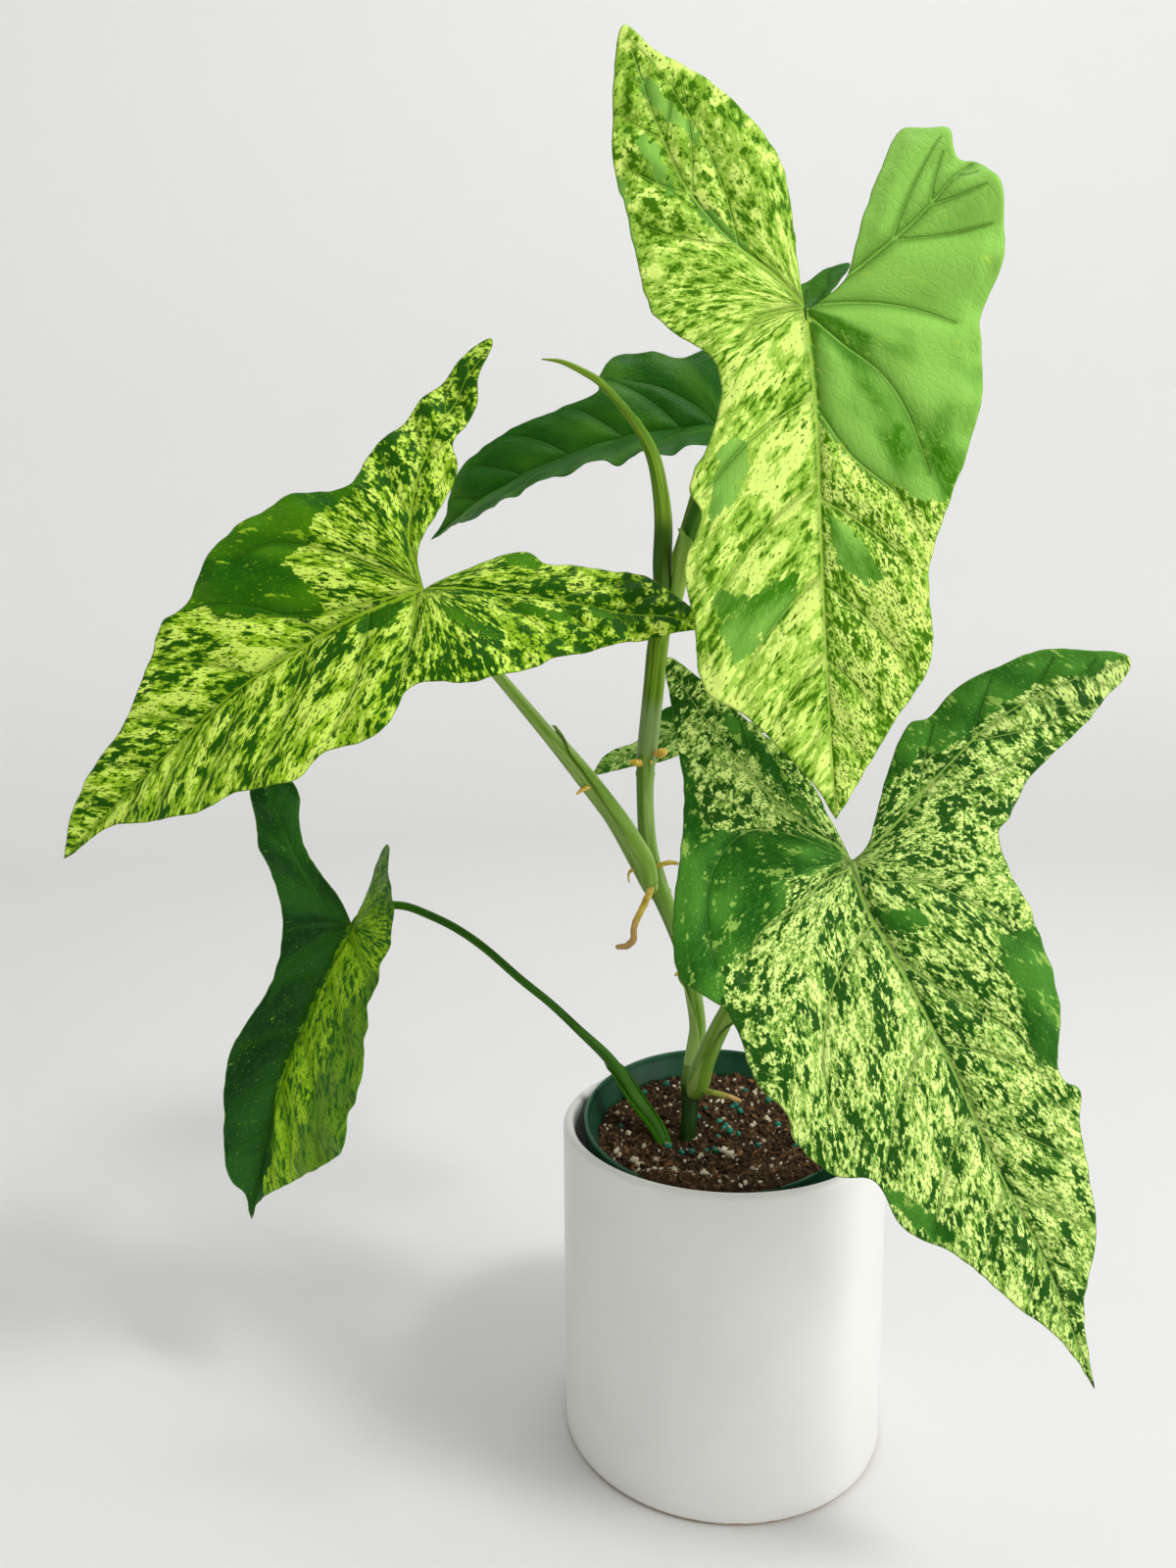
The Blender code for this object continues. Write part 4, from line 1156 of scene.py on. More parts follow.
def sheath_mesh(name, sheath, seed):
    """Thin open shell that clasps a stem and ends in a short free tip."""
    path = path_through(STEMS[sheath["stem"]], 1.0)
    centres, radius = path[:, :3], path[:, 3]
    along = np.concatenate([[0], np.cumsum(np.linalg.norm(np.diff(centres, axis=0), axis=1))])
    begin, finish = sheath["span"]
    chosen = (along >= begin) & (along <= finish)
    centres, radius, along = centres[chosen], radius[chosen], along[chosen]
    tangent, _, _ = ring_frames(centres)
    opening = np.array(sheath["opening"], float)
    count = 21
    across = np.linspace(-1, 1, count)
    rings, flows = [], []
    for i in range(len(centres)):
        share = (along[i] - begin) / (finish - begin)
        back = -(opening - tangent[i] * (opening @ tangent[i]))
        back /= np.linalg.norm(back)
        side = np.cross(tangent[i], back)
        closing = (1 - smoothstep(0.84, 1.0, share)) ** 0.7
        wrap = (sheath["wrap"][0] + (sheath["wrap"][1] - sheath["wrap"][0]) * share) * max(closing, 0.22)
        thick = sheath["thickness"] * (0.35 + 0.65 * min(1.0, 6 * (1 - share), 0.3 + 4 * share))
        angles = across * wrap
        flare = sheath["flare"] * np.abs(across) ** 5 * min(1.0, 3 * share)
        edge_thin = 1 - 0.6 * np.abs(across) ** 6
        inner = radius[i] * 0.97 + flare + sheath["lift"] * smoothstep(0.85, 1.0, share)
        outer = inner + thick * edge_thin
        arc_out = np.outer(outer * np.cos(angles), back) + np.outer(outer * np.sin(angles), side)
        arc_in = np.outer(inner * np.cos(angles), back) + np.outer(inner * np.sin(angles), side)
        rings.append(centres[i] + np.vstack([arc_out, arc_in[::-1]]))
        run = np.concatenate([angles, angles[::-1]]) * radius[i]
        flows.append(np.stack([np.full(2 * count, along[i]), run], axis=1))
    return lofted(name, np.array(rings), np.array(flows), seed)


def stem_finish(name, light, middle, dark, streak=0.55, foot=None, grey_tone_and_painted_sheen=None):
    """Green plant skin with fine lengthwise streaks, a painted highlight down its
    right side and painted shade down its left side.

    foot and bloom are a length from the root end, and how far it shades to which
    colour over that length. bloom is partly a grey tone of the skin and partly
    painted sheen.
    """
    finish = Finish(name, Specular_IOR_Level=0.14)
    flow = finish.split(finish.attribute("flow", "Vector"))
    wide = finish.noise(finish.stretched(flow, 40, 3.2, 1.7), 1, 2)
    fine = finish.noise(finish.stretched(flow, 18, 0.7, 5.3), 1, 3, 0.6)
    fleck = finish.noise(finish.stretched(flow, 3.2, 0.8, 9.1), 1, 3, 0.6)
    colour = finish.mix(wide.above(0.5, 0.16), srgb(*middle), srgb(*light))
    colour = finish.mix(fine.above(streak, 0.09) * 0.5, colour, srgb(*dark))
    colour = finish.mix(fleck.above(0.66, 0.03) * 0.4, colour, srgb(*light))
    # Painted highlight: a lighter band down the right side of each stem, where the light falls. Painted
    # shade: a darker band down its left side.
    around = flow[1] + 1.6 * (wide - 0.5)
    colour = finish.mix(around.above(2.6, 1.3) * around.below(12.0, 2.0) * 0.6, colour, srgb(*light))
    colour = finish.mix(around.above(22.6, 1.0) * 0.55, colour, srgb(*dark))
    # bloom is partly a grey tone of the skin and partly painted sheen at the root end.
    for shade in (grey_tone_and_painted_sheen, foot):
        if shade:
            reach = (flow[0] + 9 * (fine - 0.5)).below(shade[0], 4.5)
            colour = finish.mix(reach * shade[1], colour, srgb(*shade[2]))
    spot = finish.place()
    grain = finish.noise(spot, 0.6, 2)
    normal = finish.bump(fine * 0.7 + grain * 0.3, 0.16, 0.6)
    finish.set(Base_Color=colour, Roughness=0.36 + 0.12 * grain, Normal=normal)
    return finish.material


def root_finish(name, light, dark, tip):
    """Matt, mottled root skin that turns to the tip's colour."""
    finish = Finish(name, Roughness=0.55, Specular_IOR_Level=0.4)
    flow = finish.split(finish.attribute("flow", "Vector"))
    spot = finish.place()
    mottle = finish.noise(spot, 2.4, 3, 0.6)
    grain = finish.noise(spot, 0.5, 2)
    colour = finish.mix(mottle.above(0.5, 0.08), srgb(*light), srgb(*dark))
    colour = finish.mix(flow[0].above(15, 4), colour, srgb(*tip))
    finish.set(Base_Color=colour, Normal=finish.bump(mottle * 0.6 + grain * 0.4, 0.25, 0.6))
    return finish.material


def make_stems():
    green = stem_finish("stem_skin", (146, 176, 96), (98, 138, 38), (58, 102, 6),
                        foot=(27.0, 0.95, (8, 48, 0)))
    petiole = stem_finish("petiole_skin", (150, 178, 96), (108, 146, 36), (74, 118, 8), 0.58)
    petiole_dark = stem_finish("petiole_dark_skin", (58, 108, 12), (36, 84, 4), (14, 62, 2), 0.58)
    sheath = stem_finish("sheath_skin", (154, 184, 96), (114, 154, 48), (74, 120, 14), 0.6)
    low_sheath = stem_finish("low_sheath_skin", (70, 138, 12), (38, 110, 4), (18, 82, 0), 0.6)
    top_sheath = stem_finish("top_sheath_skin", (150, 182, 84), (104, 144, 30), (62, 108, 6), 0.6)
    # Its bloom is partly a grey tone of the sheath and partly painted sheen near its root end.
    upper_sheath = stem_finish("upper_sheath_skin", (126, 160, 42), (78, 118, 8), (36, 74, 0), 0.54,
                               grey_tone_and_painted_sheen=(22.0, 0.6, (140, 162, 112)))
    young = stem_finish("young_leaf_skin", (142, 176, 54), (88, 130, 10), (44, 90, 0), 0.55,
                        foot=(34.0, 0.8, (28, 72, 0)))
    root = root_finish("root_skin", (206, 180, 72), (176, 152, 48), (182, 144, 84))
    sprout = root_finish("root_sprout_skin", (150, 164, 56), (124, 140, 40), (206, 160, 100))
    nub = root_finish("nub_skin", (228, 192, 84), (204, 160, 52), (222, 176, 78))

    plan = {
        "main_stem": (green, "stem_green", noded(26, 104, 150)),
        "petiole_top": (petiole_dark, "stem_green", fluted),
        "petiole_left": (petiole, "stem_green", fluted),
        "petiole_right": (petiole, "stem_green", fluted),
        "petiole_low": (petiole_dark, "stem_green", fluted),
        "petiole_back": (upper_sheath, "stem_green", lapped(0.004, 0.5, 0.14)),
        "petiole_small": (petiole, "stem_green", fluted),
        "new_leaf": (young, "young_leaf", lapped(0.035, 5.6, 0.16)),
    }
    for seed, (name, (finish, slot, section)) in enumerate(plan.items()):
        mesh = stem_mesh(name + "_skin", STEMS[name], 7.0 * seed, section=section)
        add_piece(name + "_skin", mesh, [finish], slot, name)
    for seed, name in enumerate(("aerial_root", "surface_root")):
        mesh = stem_mesh(name + "_skin", STEMS[name], 90.0 + seed, sides=16, step=0.7, knobbly=0.25)
        add_piece(name + "_skin", mesh, [sprout if name == "surface_root" else root], "root_tan", name)
    for seed, (name, points) in enumerate(ROOTLETS.items()):
        mesh = stem_mesh(name, points, 110.0 + seed, sides=14, step=0.5, knobbly=0.25)
        add_piece(name, mesh, [nub if name.startswith("nub") else root], "root_tan")
    for seed, (name, plan) in enumerate(SHEATHS.items()):
        mesh = sheath_mesh(name, plan, 130.0 + seed)
        skin = {"sheath_low": low_sheath, "sheath_top": top_sheath}.get(name, sheath)
        add_piece(name, mesh, [skin], "stem_green")


# Pots
def revolved(name, profile, place=None):
    """Closed round mesh from (radius, height) points that end on the axis."""
    rings = profile[1:-1]
    points = [Vector((x, y, height)) for radius, height in rings for x, y in circle(radius, POT_SEGMENTS)]
    faces = ring_faces(len(rings), POT_SEGMENTS)
    first = len(points)
    points.append(Vector((0, 0, profile[0][1])))
    points.append(Vector((0, 0, profile[-1][1])))
    last_ring = (len(rings) - 1) * POT_SEGMENTS
    for k in range(POT_SEGMENTS):
        following = (k + 1) % POT_SEGMENTS
        faces.append((first, k, following))
        faces.append((first + 1, last_ring + following, last_ring + k))
    mesh = bpy.data.meshes.new(name)
    if place is not None:
        points = [place @ p for p in points]
    mesh.from_pydata([p * MM for p in points], [], faces)
    return mesh


def rounded(corners, size, steps):
    """Profile with its inner corners rounded off."""
    path = [corners[0]]
    for before, corner, after in zip(corners, corners[1:], corners[2:]):
        b, c, a = (np.array(p, float) for p in (before, corner, after))
        reach = min(size, 0.45 * np.linalg.norm(b - c), 0.45 * np.linalg.norm(a - c))
        start = c + (b - c) / max(np.linalg.norm(b - c), 1e-9) * reach
        end = c + (a - c) / max(np.linalg.norm(a - c), 1e-9) * reach
        for i in range(steps + 1):
            u = i / steps
            path.append(tuple((1 - u) ** 2 * start + 2 * u * (1 - u) * c + u ** 2 * end))
    path.append(corners[-1])
    return path


def with_steps(profile, longest):
    """Profile with its long runs divided, so that its faces stay even."""
    path = [profile[0]]
    for a, b in zip(profile, profile[1:]):
        count = max(1, math.ceil(math.dist(a, b) / longest))
        for i in range(1, count + 1):
            path.append((a[0] + (b[0] - a[0]) * i / count, a[1] + (b[1] - a[1]) * i / count))
    return path


def nursery_place():
    """Turns upright pot coordinates into those of the leaning nursery pot."""
    axis = Vector((0.0, -math.sin(NURSERY_LEAN), math.cos(NURSERY_LEAN)))
    base = NURSERY_RIM_CENTRE - NURSERY_HEIGHT * axis
    return Matrix.Translation(base) @ Matrix.Rotation(NURSERY_LEAN, 4, "X")


def nursery_radius(height):
    """Outer wall radius of the nursery pot under its lip."""
    top = NURSERY_RIM_RADIUS - 2.2
    return NURSERY_BASE_RADIUS + (top - NURSERY_BASE_RADIUS) * height / NURSERY_HEIGHT


def nursery_inside(height):
    """Inner wall radius of the nursery pot at a height over its base."""
    lip_bottom = NURSERY_HEIGHT - NURSERY_LIP_DROP
    flare = (NURSERY_RIM_RADIUS - 0.2 - nursery_radius(lip_bottom)) / (NURSERY_LIP_DROP - 2.6)
    return nursery_radius(min(height, lip_bottom)) - NURSERY_WALL + flare * max(height - lip_bottom, 0.0)


def make_cover_pot():
    inner = POT_RADIUS - POT_WALL
    lip = POT_WALL / 2
    rim = [(inner + lip - lip * math.cos(a), POT_HEIGHT - lip + lip * math.sin(a))
           for a in [math.pi * i / 14 for i in range(15)]]
    rim[-1] = (POT_RADIUS, POT_HEIGHT - lip)
    corner = 6.0
    cove = [(inner - corner + corner * math.sin(a), POT_FLOOR + corner - corner * math.cos(a))
            for a in np.linspace(0, math.pi / 2, 9)]
    foot = [(POT_RADIUS - step, height) for step, height in FOOT_STEPS] + [(0.0, FOOT_HOLLOW)]
    profile = with_steps([(0.0, POT_FLOOR)] + cove + rim + foot, 4.0)
    mesh = revolved("cover_pot_body", profile)
    mesh.shade_smooth()

    glaze = Finish("white_glaze", IOR=1.5, Specular_IOR_Level=0.5, Coat_Roughness=0.2)
    spot = glaze.place()
    height = glaze.split(spot)[2]
    cloud = glaze.noise(spot, 38, 2)
    ripple = glaze.noise(spot, 6, 3)
    pit = glaze.cells(spot, 5.2).below(0.045, 0.02)
    rare = glaze.noise(spot, 17, 1).above(0.58, 0.02)
    body = glaze.mix(cloud.above(0.5, 0.3), srgb(233, 232, 229), srgb(226, 225, 222))
    body = glaze.mix(pit * rare * 0.5, body, srgb(168, 160, 146))
    bare = glaze.mix(glaze.noise(spot, 1.1, 3).above(0.5, 0.2), srgb(206, 184, 150), srgb(188, 162, 126))
    edge = (height + 1.6 * (glaze.noise(spot, 3, 2) - 0.5)).below(1.35, 0.35)
    colour = glaze.mix(edge, body, bare)
    normal = glaze.bump(ripple * 0.8 + cloud - pit * rare * 0.4, 0.22, 0.5)
    glaze.set(Base_Color=colour, Roughness=0.3 + 0.45 * edge + 0.08 * ripple, Normal=normal)
    add_piece("cover_pot_body", mesh, [glaze.material], "white_glaze", "cover_pot")


def make_nursery_pot():
    top = NURSERY_HEIGHT
    lip_bottom = top - NURSERY_LIP_DROP
    wall = NURSERY_WALL
    outline = [
        (0.0, wall),
        (nursery_radius(wall) - wall, wall),
        (nursery_radius(lip_bottom) - wall, lip_bottom),
        (NURSERY_RIM_RADIUS - wall - 0.2, top - 2.6),
        (NURSERY_RIM_RADIUS - wall + 0.3, top - 0.9),
        (NURSERY_RIM_RADIUS - 0.7, top),
        (NURSERY_RIM_RADIUS + 0.3, top - 0.7),
        (NURSERY_RIM_RADIUS + 0.2, top - 2.4),
        (NURSERY_RIM_RADIUS - 0.1, top - 3.0),
        (NURSERY_RIM_RADIUS, lip_bottom),
        (nursery_radius(lip_bottom), lip_bottom),
        (nursery_radius(2.0), 2.0),
        (NURSERY_BASE_RADIUS - 1.5, 0.0),
        (0.0, 0.0),
    ]
    profile = with_steps(rounded(outline, 0.5, 3), 4.0)
    mesh = revolved("nursery_pot_shell", profile, place=nursery_place())
    mesh.shade_smooth()

    plastic = Finish("green_plastic", Specular_IOR_Level=0.3)
    spot = plastic.place()
    scuff = plastic.noise(spot, 9, 3, 0.6)
    grain = plastic.noise(spot, 0.7, 2)
    dust = plastic.noise(spot, 2.2, 4, 0.7).above(0.6, 0.05)
    edge = plastic.split(spot)
    lip = (edge[2] - 0.14 * edge[1]).above(121.6, 0.5)
    colour = plastic.mix(scuff.above(0.5, 0.2), srgb(8, 60, 34), srgb(14, 72, 42))
    colour = plastic.mix(lip * 0.4, colour, srgb(70, 126, 92))
    colour = plastic.mix(dust * 0.14, colour, srgb(104, 100, 78))
    normal = plastic.bump(grain * 0.4 + scuff, 0.15, 0.5)
    plastic.set(Base_Color=colour, Roughness=0.34 + 0.2 * scuff + 0.2 * dust, Normal=normal)
    add_piece("nursery_pot_shell", mesh, [plastic.material], "green_plastic", "nursery_pot")


# Soil
def spill(x, y):
    """1 towards the front, where the mix lies over the lip, and 0 at the back."""
    return float(smoothstep(8.0, 26.0, 0.5 * x - 0.87 * y))


def soil_height(x, y):
    """Loose surface of the mix above its mean level, in millimetres."""
    lumps = noise.noise(Vector((x / 9, y / 9, 3.0)))
    clods = noise.noise(Vector((x / 3.6, y / 3.6, 9.0)))
    crumbs = noise.noise(Vector((x / 1.5, y / 1.5, 15.0)))
    heap = spill(x, y) * float(smoothstep(24.0, 45.0, math.hypot(x, y)))
    loose = 1.7 * lumps + 1.2 * clods + 0.6 * crumbs
    return loose * (1 - 0.6 * heap) + (SOIL_BELOW_RIM + 0.9) * heap


def make_soil():
    """The soil bed's piece, and its bare top for strewing grains on."""
    surface = NURSERY_HEIGHT - SOIL_BELOW_RIM
    inset = NURSERY_WALL + 0.1
    outer = nursery_inside(surface)
    place = nursery_place()
    rings = np.linspace(0.013, 1.0, 74)
    count = SOIL_SEGMENTS
    points = []
    for share in rings:
        for k in range(count):
            angle = 2 * math.pi * k / count
            edge = outer * math.cos(angle), outer * math.sin(angle)
            reach = nursery_inside(min(surface + soil_height(*edge), NURSERY_HEIGHT)) - 0.1
            over_lip = float(smoothstep(0.7, 1.0, spill(*edge)))
            r = share * (reach + (NURSERY_RIM_RADIUS + 0.5 - reach) * over_lip)
            x, y = r * math.cos(angle), r * math.sin(angle)
            points.append(place @ Vector((x, y, surface + soil_height(x, y))))
    faces = ring_faces(len(rings), count)
    top_faces = len(faces) + count
    centre = len(points)
    points.append(place @ Vector((0, 0, surface + soil_height(0, 0))))
    faces += [(centre, k, (k + 1) % count) for k in range(count)]
    level = (len(rings) - 1) * count
    for height in (surface - 4, 60.0, NURSERY_WALL + 0.6):
        start = len(points)
        radius = nursery_radius(height) - inset
        points += [place @ Vector((x, y, height)) for x, y in circle(radius, count)]
        for k in range(count):
            a, b = level + k, level + (k + 1) % count
            c, d = start + k, start + (k + 1) % count
            faces.append((a, c, d, b))
        level = start
    bottom = len(points)
    points.append(place @ Vector((0, 0, NURSERY_WALL + 0.6)))
    faces += [(bottom, level + (k + 1) % count, level + k) for k in range(count)]
    mesh = bpy.data.meshes.new("potting_soil_bed")
    mesh.from_pydata([p * MM for p in points], [], faces)
    mesh.shade_smooth()
    add_piece("potting_soil_bed", mesh, [soil_finish()], "soil", "potting_soil")

    ground = bpy.data.meshes.new("soil_top")
    ground.from_pydata([p * MM for p in points[:centre + 1]], [], faces[:top_faces])
    return ground


def soil_finish():
    soil = Finish("soil", Roughness=0.95, Specular_IOR_Level=0.15)
    spot = soil.place()
    wide = soil.noise(spot, 9, 3, 0.6)
    crumb = soil.noise(spot, 1.3, 4, 0.7)
    fibre = soil.noise(spot, 0.5, 3, 0.7)
    colour = soil.mix(wide.above(0.5, 0.12), srgb(66, 47, 30), srgb(92, 68, 44))
    colour = soil.mix(crumb.above(0.54, 0.06), colour, srgb(38, 26, 18))
    colour = soil.mix(fibre.above(0.66, 0.04) * 0.6, colour, srgb(140, 104, 74))
    normal = soil.bump(crumb + fibre * 0.5, 0.9, 0.9)
    soil.set(Base_Color=colour, Normal=normal)
    return soil.material


def grain_finish(name, light, dark, roughness=0.9, size=1.2, depth=0.2, specular=0.2):
    """Two-coloured finish of loose grains, with clouds of about four times the size."""
    finish = Finish(name, Roughness=roughness, Specular_IOR_Level=specular)
    spot = finish.place()
    cloud = finish.noise(spot, size * 4, 3, 0.6)
    grain = finish.noise(spot, size * 0.4, 3, 0.6)
    colour = finish.mix((cloud + 0.4 * grain).above(0.7, 0.12), srgb(*light), srgb(*dark))
    finish.set(Base_Color=colour, Normal=finish.bump(grain, depth, 0.7))
    return finish.material


def crumb_mesh(name, stretch, roughness, seed):
    """Small rounded grain of a few dozen faces, about one millimetre across."""
    shape = bmesh.new()
    bmesh.ops.create_cube(shape, size=1.0)
    bmesh.ops.subdivide_edges(shape, edges=shape.edges[:], cuts=1, use_grid_fill=True)
    for vert in shape.verts:
        spot = vert.co.normalized()
        size = 0.5 * (1 + roughness * noise.noise(spot * 1.7 + Vector((seed, 0, 0))))
        vert.co = Vector([a * b for a, b in zip(spot * size, stretch)]) * MM
    mesh = bpy.data.meshes.new(name)
    shape.to_mesh(mesh)
    shape.free()
    return mesh


def scatter_tree(grain, material):
    """Geometry nodes that strew a grain over a surface."""
    tree = bpy.data.node_groups.new("strew_" + grain.name, "GeometryNodeTree")
    face = tree.interface
    face.new_socket("Geometry", in_out="INPUT", socket_type="NodeSocketGeometry")
    for name, kind in (("Density", "NodeSocketFloat"), ("Smallest", "NodeSocketFloat"),
                       ("Largest", "NodeSocketFloat"), ("Sink", "NodeSocketFloat"), ("Seed", "NodeSocketInt"),
                       ("Tilt", "NodeSocketFloat")):
        face.new_socket(name, in_out="INPUT", socket_type=kind)
    face.new_socket("Geometry", in_out="OUTPUT", socket_type="NodeSocketGeometry")
    nodes, links = tree.nodes, tree.links

    def add(kind, settings=None, inputs=None):
        made = nodes.new(kind)
        for key, value in (settings or {}).items():
            setattr(made, key, value)
        for key, value in (inputs or {}).items():
            if isinstance(value, bpy.types.NodeSocket):
                links.new(value, made.inputs[key])
            else:
                made.inputs[key].default_value = value
        return made

    given = add("NodeGroupInput").outputs
    strewn = add("GeometryNodeDistributePointsOnFaces", None,
                 {"Mesh": given["Geometry"], "Density": given["Density"], "Seed": given["Seed"]})
    info = add("GeometryNodeObjectInfo", None, {"Object": grain})
    turn = add("FunctionNodeRandomValue", {"data_type": "FLOAT_VECTOR"}, {"Seed": given["Seed"]})
    turn.inputs[1].default_value = (FULL_TURN, FULL_TURN, FULL_TURN)
    tilt = add("ShaderNodeVectorMath", {"operation": "MULTIPLY"}, {0: turn.outputs[0]})
    tilt_scale = add("ShaderNodeCombineXYZ", None, {0: given["Tilt"], 1: given["Tilt"], 2: 1.0})
    links.new(tilt_scale.outputs[0], tilt.inputs[1])
    size = add("FunctionNodeRandomValue", {"data_type": "FLOAT"},
               {2: given["Smallest"], 3: given["Largest"], "Seed": given["Seed"]})
    placed = add("GeometryNodeInstanceOnPoints", None,
                 {"Points": strewn.outputs["Points"], "Instance": info.outputs["Geometry"],
                  "Rotation": tilt.outputs[0], "Scale": size.outputs[1]})
    drop = add("ShaderNodeCombineXYZ", None, {2: given["Sink"]})
    moved = add("GeometryNodeTranslateInstances", None,
                {"Instances": placed.outputs[0], "Translation": drop.outputs[0]})
    moved.inputs["Local Space"].default_value = False
    real = add("GeometryNodeRealizeInstances", None, {"Geometry": moved.outputs[0]})
    smooth = add("GeometryNodeSetShadeSmooth", None, {"Geometry": real.outputs[0]})
    named = add("GeometryNodeSetMaterial", None, {"Geometry": smooth.outputs[0], "Material": material})
    add("NodeGroupOutput", None, {0: named.outputs[0]})
    return tree


def strew(name, ground, stretch, roughness, material, **values):
    """A finished piece of many grains lying on the soil."""
    crumb = crumb_mesh(name + "_grain", stretch, roughness, values["Seed"])
    grain = bpy.data.objects.new(name + "_grain", crumb)
    host = bpy.data.objects.new(name + "_host", ground)
    for obj in (grain, host):
        bpy.context.scene.collection.objects.link(obj)
    modifier = host.modifiers.new("strew", "NODES")
    tree = scatter_tree(grain, material)
    modifier.node_group = tree
    for item in tree.interface.items_tree:
        if item.in_out == "INPUT" and item.name in values:
            modifier[item.identifier] = values[item.name]
    evaluated = host.evaluated_get(bpy.context.evaluated_depsgraph_get())
    mesh = bpy.data.meshes.new_from_object(evaluated)
    mesh.name = name
    for obj in (host, grain):
        bpy.data.objects.remove(obj)
    add_piece(name, mesh, [] if mesh.materials else [material], "soil")


# Feed beads and large perlite grains seen on the soil: (x, y) on its surface
BEAD_SPOTS = [(-28.6, 27.9), (-3.7, 17.7), (-6.6, 11.9), (8.1, 20.0), (3.5, 3.4), (-9.4, 0.4),
              (-8.3, -12.8), (-2.9, -11.7), (0.3, -11.5), (-13.2, -26.3), (1.7, 7.9), (5.7, -0.3),
              (9.0, 1.9), (-17.0, -11.0), (7.4, 23.5), (6.6, 18.4), (9.6, 17.4), (4.4, 5.8), (1.2, -1.0),
              (-12.0, -13.6), (16.0, -6.0), (24.0, 8.0), (30.0, -12.0), (12.0, 32.0), (-20.0, 33.0),
              (21.0, 26.0), (-36.0, 4.0)]
PERLITE_SPOTS = [(-32.5, -2.8), (-38.2, 10.8), (-17.1, -7.9), (-29.1, -19.9), (-21.3, -18.1), (5.3, -14.7),
                 (3.5, -12.4), (-33.3, -25.0), (-27.5, -21.6), (-21.5, 6.0), (-36.0, -14.0), (-24.0, -28.0),
                 (-16.0, -30.0), (-8.0, -32.0), (-30.0, 14.0), (14.0, -20.0), (20.0, 12.0), (-26.0, -10.0),
                 (-31.0, -31.5), (-26.0, -35.0), (-20.5, -37.5), (-13.5, -39.5), (-35.5, -24.0),
                 (-3.0, -40.0)]


def planted(name, spots, sizes, roughness, material):
    """A finished piece of single grains at measured places on the soil."""
    chance = random.Random(21)
    place = nursery_place()
    points, faces = [], []
    for index, (x, y) in enumerate(spots):
        grain = crumb_mesh("grain", (1.0, 0.9, 0.85), roughness, 30 + index)
        size = chance.uniform(*sizes)
        turn = Matrix.Rotation(chance.uniform(0, FULL_TURN), 3, (chance.random(), chance.random(), 1.0))
        level = NURSERY_HEIGHT - SOIL_BELOW_RIM + soil_height(x, y) + 0.28 * size
        centre = place @ Vector((x, y, level)) * MM
        start = len(points)
        points += [turn @ vert.co * size + centre for vert in grain.vertices]
        faces += [[start + i for i in face.vertices] for face in grain.polygons]
        bpy.data.meshes.remove(grain)
    mesh = bpy.data.meshes.new(name)
    mesh.from_pydata(points, [], faces)
    mesh.shade_smooth()
    add_piece(name, mesh, [material], "soil")


def dress_soil(ground):
    """Everything loose on the soil."""
    peat = grain_finish("peat", (80, 58, 36), (42, 29, 19))
    peat_light = grain_finish("peat_light", (124, 96, 66), (84, 62, 42))
    bark = grain_finish("bark", (134, 92, 56), (84, 56, 34), size=1.6)
    white = grain_finish("perlite", (232, 222, 200), (190, 174, 140), size=0.9, depth=0.3)
    teal = grain_finish("feed_bead", (12, 134, 106), (6, 96, 78), 0.4, size=2.0, depth=0.05, specular=0.4)
    fibre = grain_finish("fibre", (146, 112, 78), (100, 74, 50))
    strew("peat_crumbs", ground, (1.0, 0.8, 0.7), 0.7, peat,
          Density=0.30 * PER_SQUARE_METRE, Smallest=0.9, Largest=3.2, Sink=0.0, Seed=3, Tilt=1.0)
    strew("peat_light_crumbs", ground, (1.3, 0.6, 0.5), 0.8, peat_light,
          Density=0.10 * PER_SQUARE_METRE, Smallest=0.8, Largest=2.6, Sink=0.0003, Seed=5, Tilt=1.0)
    strew("bark_chips", ground, (2.0, 1.0, 0.45), 0.6, bark,
          Density=0.018 * PER_SQUARE_METRE, Smallest=0.9, Largest=2.6, Sink=0.0005, Seed=8, Tilt=0.12)
    strew("perlite_grains", ground, (1.0, 0.8, 0.7), 1.2, white,
          Density=0.045 * PER_SQUARE_METRE, Smallest=0.6, Largest=2.4, Sink=0.0004, Seed=11, Tilt=1.0)
    strew("soil_fibres", ground, (7.0, 0.35, 0.35), 0.5, fibre,
          Density=0.012 * PER_SQUARE_METRE, Smallest=0.5, Largest=1.2, Sink=0.0007, Seed=17, Tilt=0.1)
    planted("feed_beads", BEAD_SPOTS, (2.5, 3.5), 0.15, teal)
    planted("large_perlite", PERLITE_SPOTS, (2.0, 3.6), 0.9, white)


# Studio
# Paper colours of the floor and the wall, on the shaded side and the bright one. The changes from side to
# side and from floor to wall are painted light and shade, not the paper's own colour.
FLOOR_SHADED = (0.77, 0.77, 0.76, 1.0)
FLOOR_BRIGHT = (0.745, 0.745, 0.74, 1.0)
WALL_SHADED = (0.80, 0.80, 0.79, 1.0)
WALL_BRIGHT = (0.86, 0.86, 0.855, 1.0)
ROOM_GLOW = 0.11
CAMERA_PLACE = Vector((0.0, -422.8, 309.1))
CAMERA_YAW = -0.1185
CAMERA_PITCH = -0.1449
CAMERA_ROLL = -0.0062
CAMERA_LENS = 27.0

# Place of each light, the point it faces, its width in metres and its power
LIGHTS = {
    "window": ((0.78, -0.54, 1.55), (-0.03, 0.0, 0.2), 0.30, 10.5),
    "ceiling": ((-0.3, -0.2, 2.2), (0.0, 0.0, 0.1), 1.6, 7.5),
    "side_panel": ((1.45, -0.55, 0.7), (0.05, 0.0, 0.15), 1.3, 11.0),
    "front_panel": ((0.85, -1.25, 0.8), (0.0, 0.0, 0.15), 1.2, 0.8),
    "wall_wash": ((0.1, 0.5, 2.1), (0.0, 1.9, 0.7), 0.8, 10.6),
}


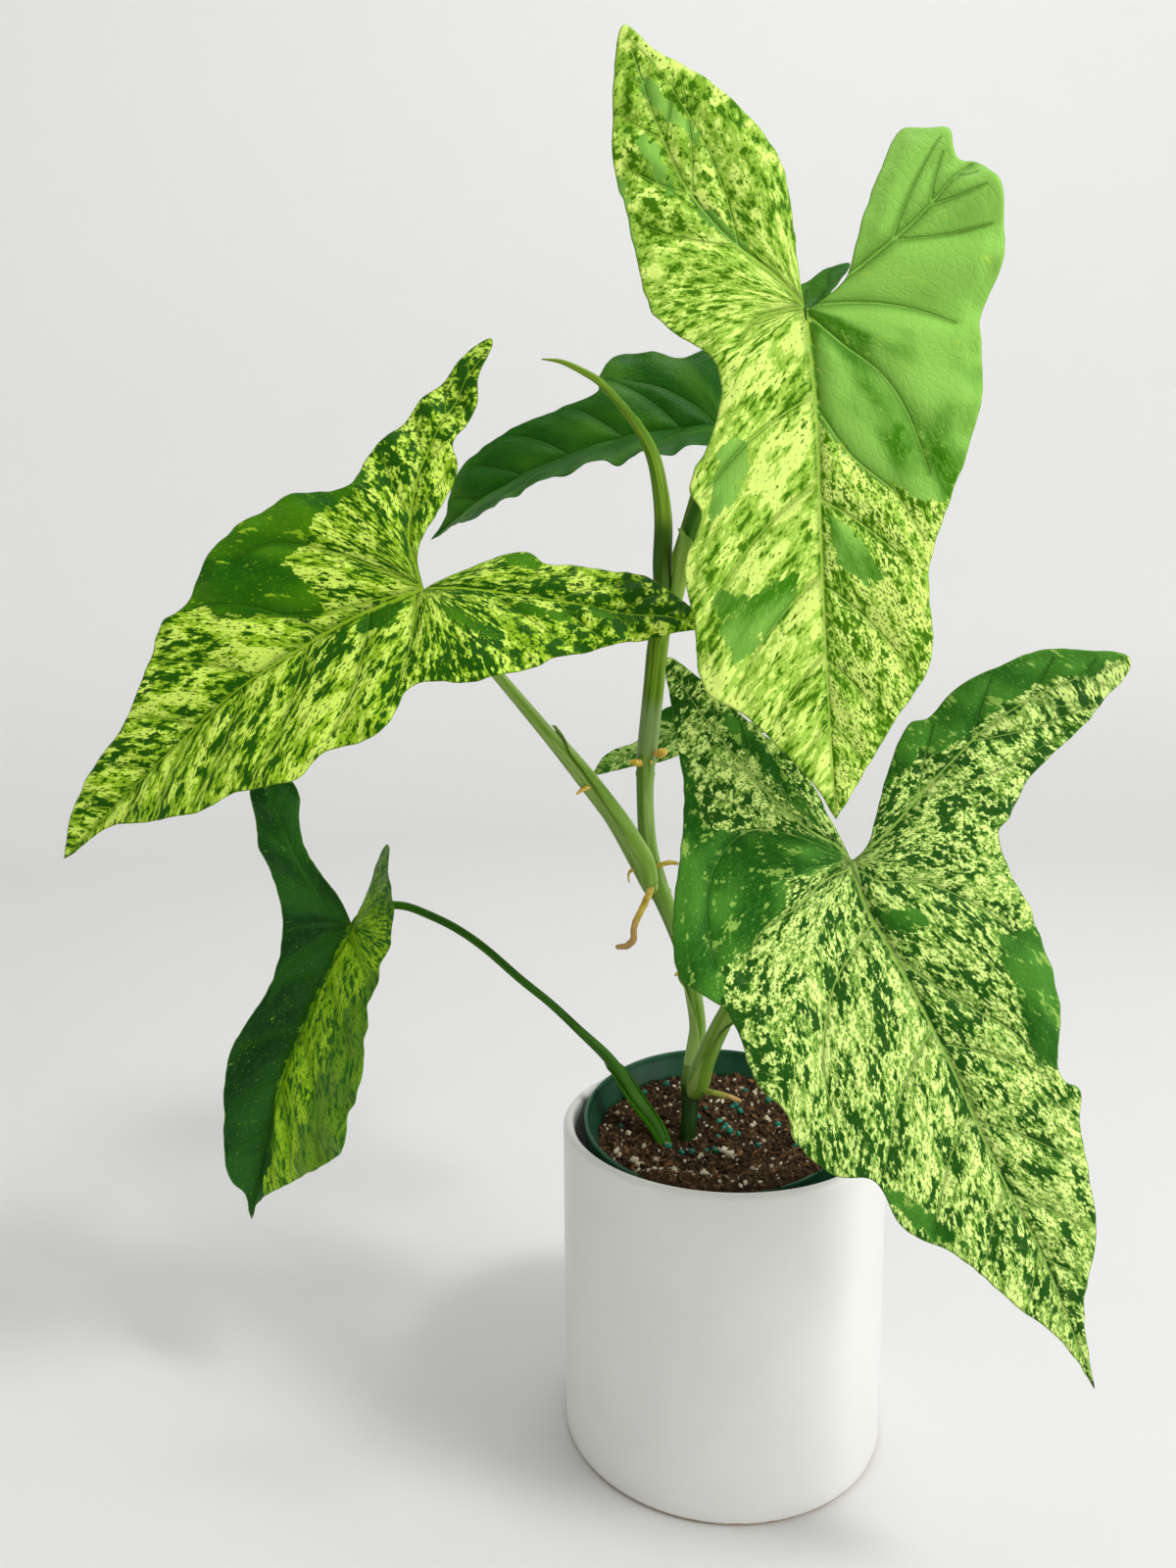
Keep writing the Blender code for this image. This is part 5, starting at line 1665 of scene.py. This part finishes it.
def make_camera():
    """Camera at the place and angle that match the photograph."""
    yaw, pitch, roll = CAMERA_YAW, CAMERA_PITCH, CAMERA_ROLL
    ahead = Vector((math.sin(yaw) * math.cos(pitch), math.cos(yaw) * math.cos(pitch), math.sin(pitch)))
    right = Vector((math.cos(yaw), -math.sin(yaw), 0))
    up = right.cross(ahead)
    rolled_right = math.cos(roll) * right + math.sin(roll) * up
    rolled_up = math.cos(roll) * up - math.sin(roll) * right
    data = bpy.data.cameras.new("camera")
    data.lens = CAMERA_LENS
    data.sensor_width = 36.0
    data.clip_start = 0.01
    data.clip_end = 20.0
    camera = bpy.data.objects.new("camera", data)
    turn = Matrix((rolled_right, rolled_up, -ahead)).transposed().to_4x4()
    camera.matrix_world = Matrix.Translation(CAMERA_PLACE * MM) @ turn
    bpy.context.scene.collection.objects.link(camera)
    bpy.context.scene.camera = camera


def make_cyclorama():
    """Floor that sweeps up into a round pale wall."""
    radius, bend, height = 1.9, 0.7, 3.4
    profile = [(0.0, 0.0), (0.3, 0.0), (radius - bend, 0.0)]
    for i in range(1, 17):
        angle = math.pi / 2 * i / 16
        profile.append((radius - bend + bend * math.sin(angle), bend - bend * math.cos(angle)))
    profile.append((radius, height))
    count = 96
    points = [(x, y, z) for r, z in profile[1:] for x, y in circle(r, count)]
    faces = [list(range(count))] + ring_faces(len(profile) - 1, count)
    mesh = bpy.data.meshes.new("cyclorama")
    mesh.from_pydata(points, [], faces)
    mesh.shade_smooth()
    floor = bpy.data.objects.new("cyclorama", mesh)
    bpy.context.scene.collection.objects.link(floor)
    paper = Finish("paper", Roughness=0.9, Specular_IOR_Level=0.1)
    aside, _, height = paper.split(paper.place())
    # Painted light and shade: the paper changes from the shaded left to the bright right, and from the floor
    # to the wall.
    bright = aside.above(300, 1100)
    low = paper.mix(bright, FLOOR_SHADED, FLOOR_BRIGHT)
    high = paper.mix(bright, WALL_SHADED, WALL_BRIGHT)
    paper.set(Base_Color=paper.mix(height.above(150, 150), low, high))
    mesh.materials.append(paper.material)


def area_light(name, place, aim, size, power):
    data = bpy.data.lights.new(name, "AREA")
    data.shape = "DISK"
    data.size = size
    data.energy = power
    lamp = bpy.data.objects.new(name, data)
    lamp.location = place
    lamp.rotation_mode = "QUATERNION"
    lamp.rotation_quaternion = (Vector(aim) - Vector(place)).to_track_quat("-Z", "Y")
    lamp.visible_camera = False
    bpy.context.scene.collection.objects.link(lamp)


def make_light():
    world = bpy.data.worlds.new("room")
    world.use_nodes = True
    background = world.node_tree.nodes["Background"].inputs
    background["Color"].default_value = (1, 1, 1, 1)
    background["Strength"].default_value = ROOM_GLOW
    bpy.context.scene.world = world
    for name, plan in LIGHTS.items():
        area_light(name, *plan)
    bpy.context.scene.view_settings.view_transform = "Standard"


make_leaves()
make_stems()
make_cover_pot()
make_nursery_pot()
dress_soil(make_soil())
make_camera()
make_cyclorama()
make_light()
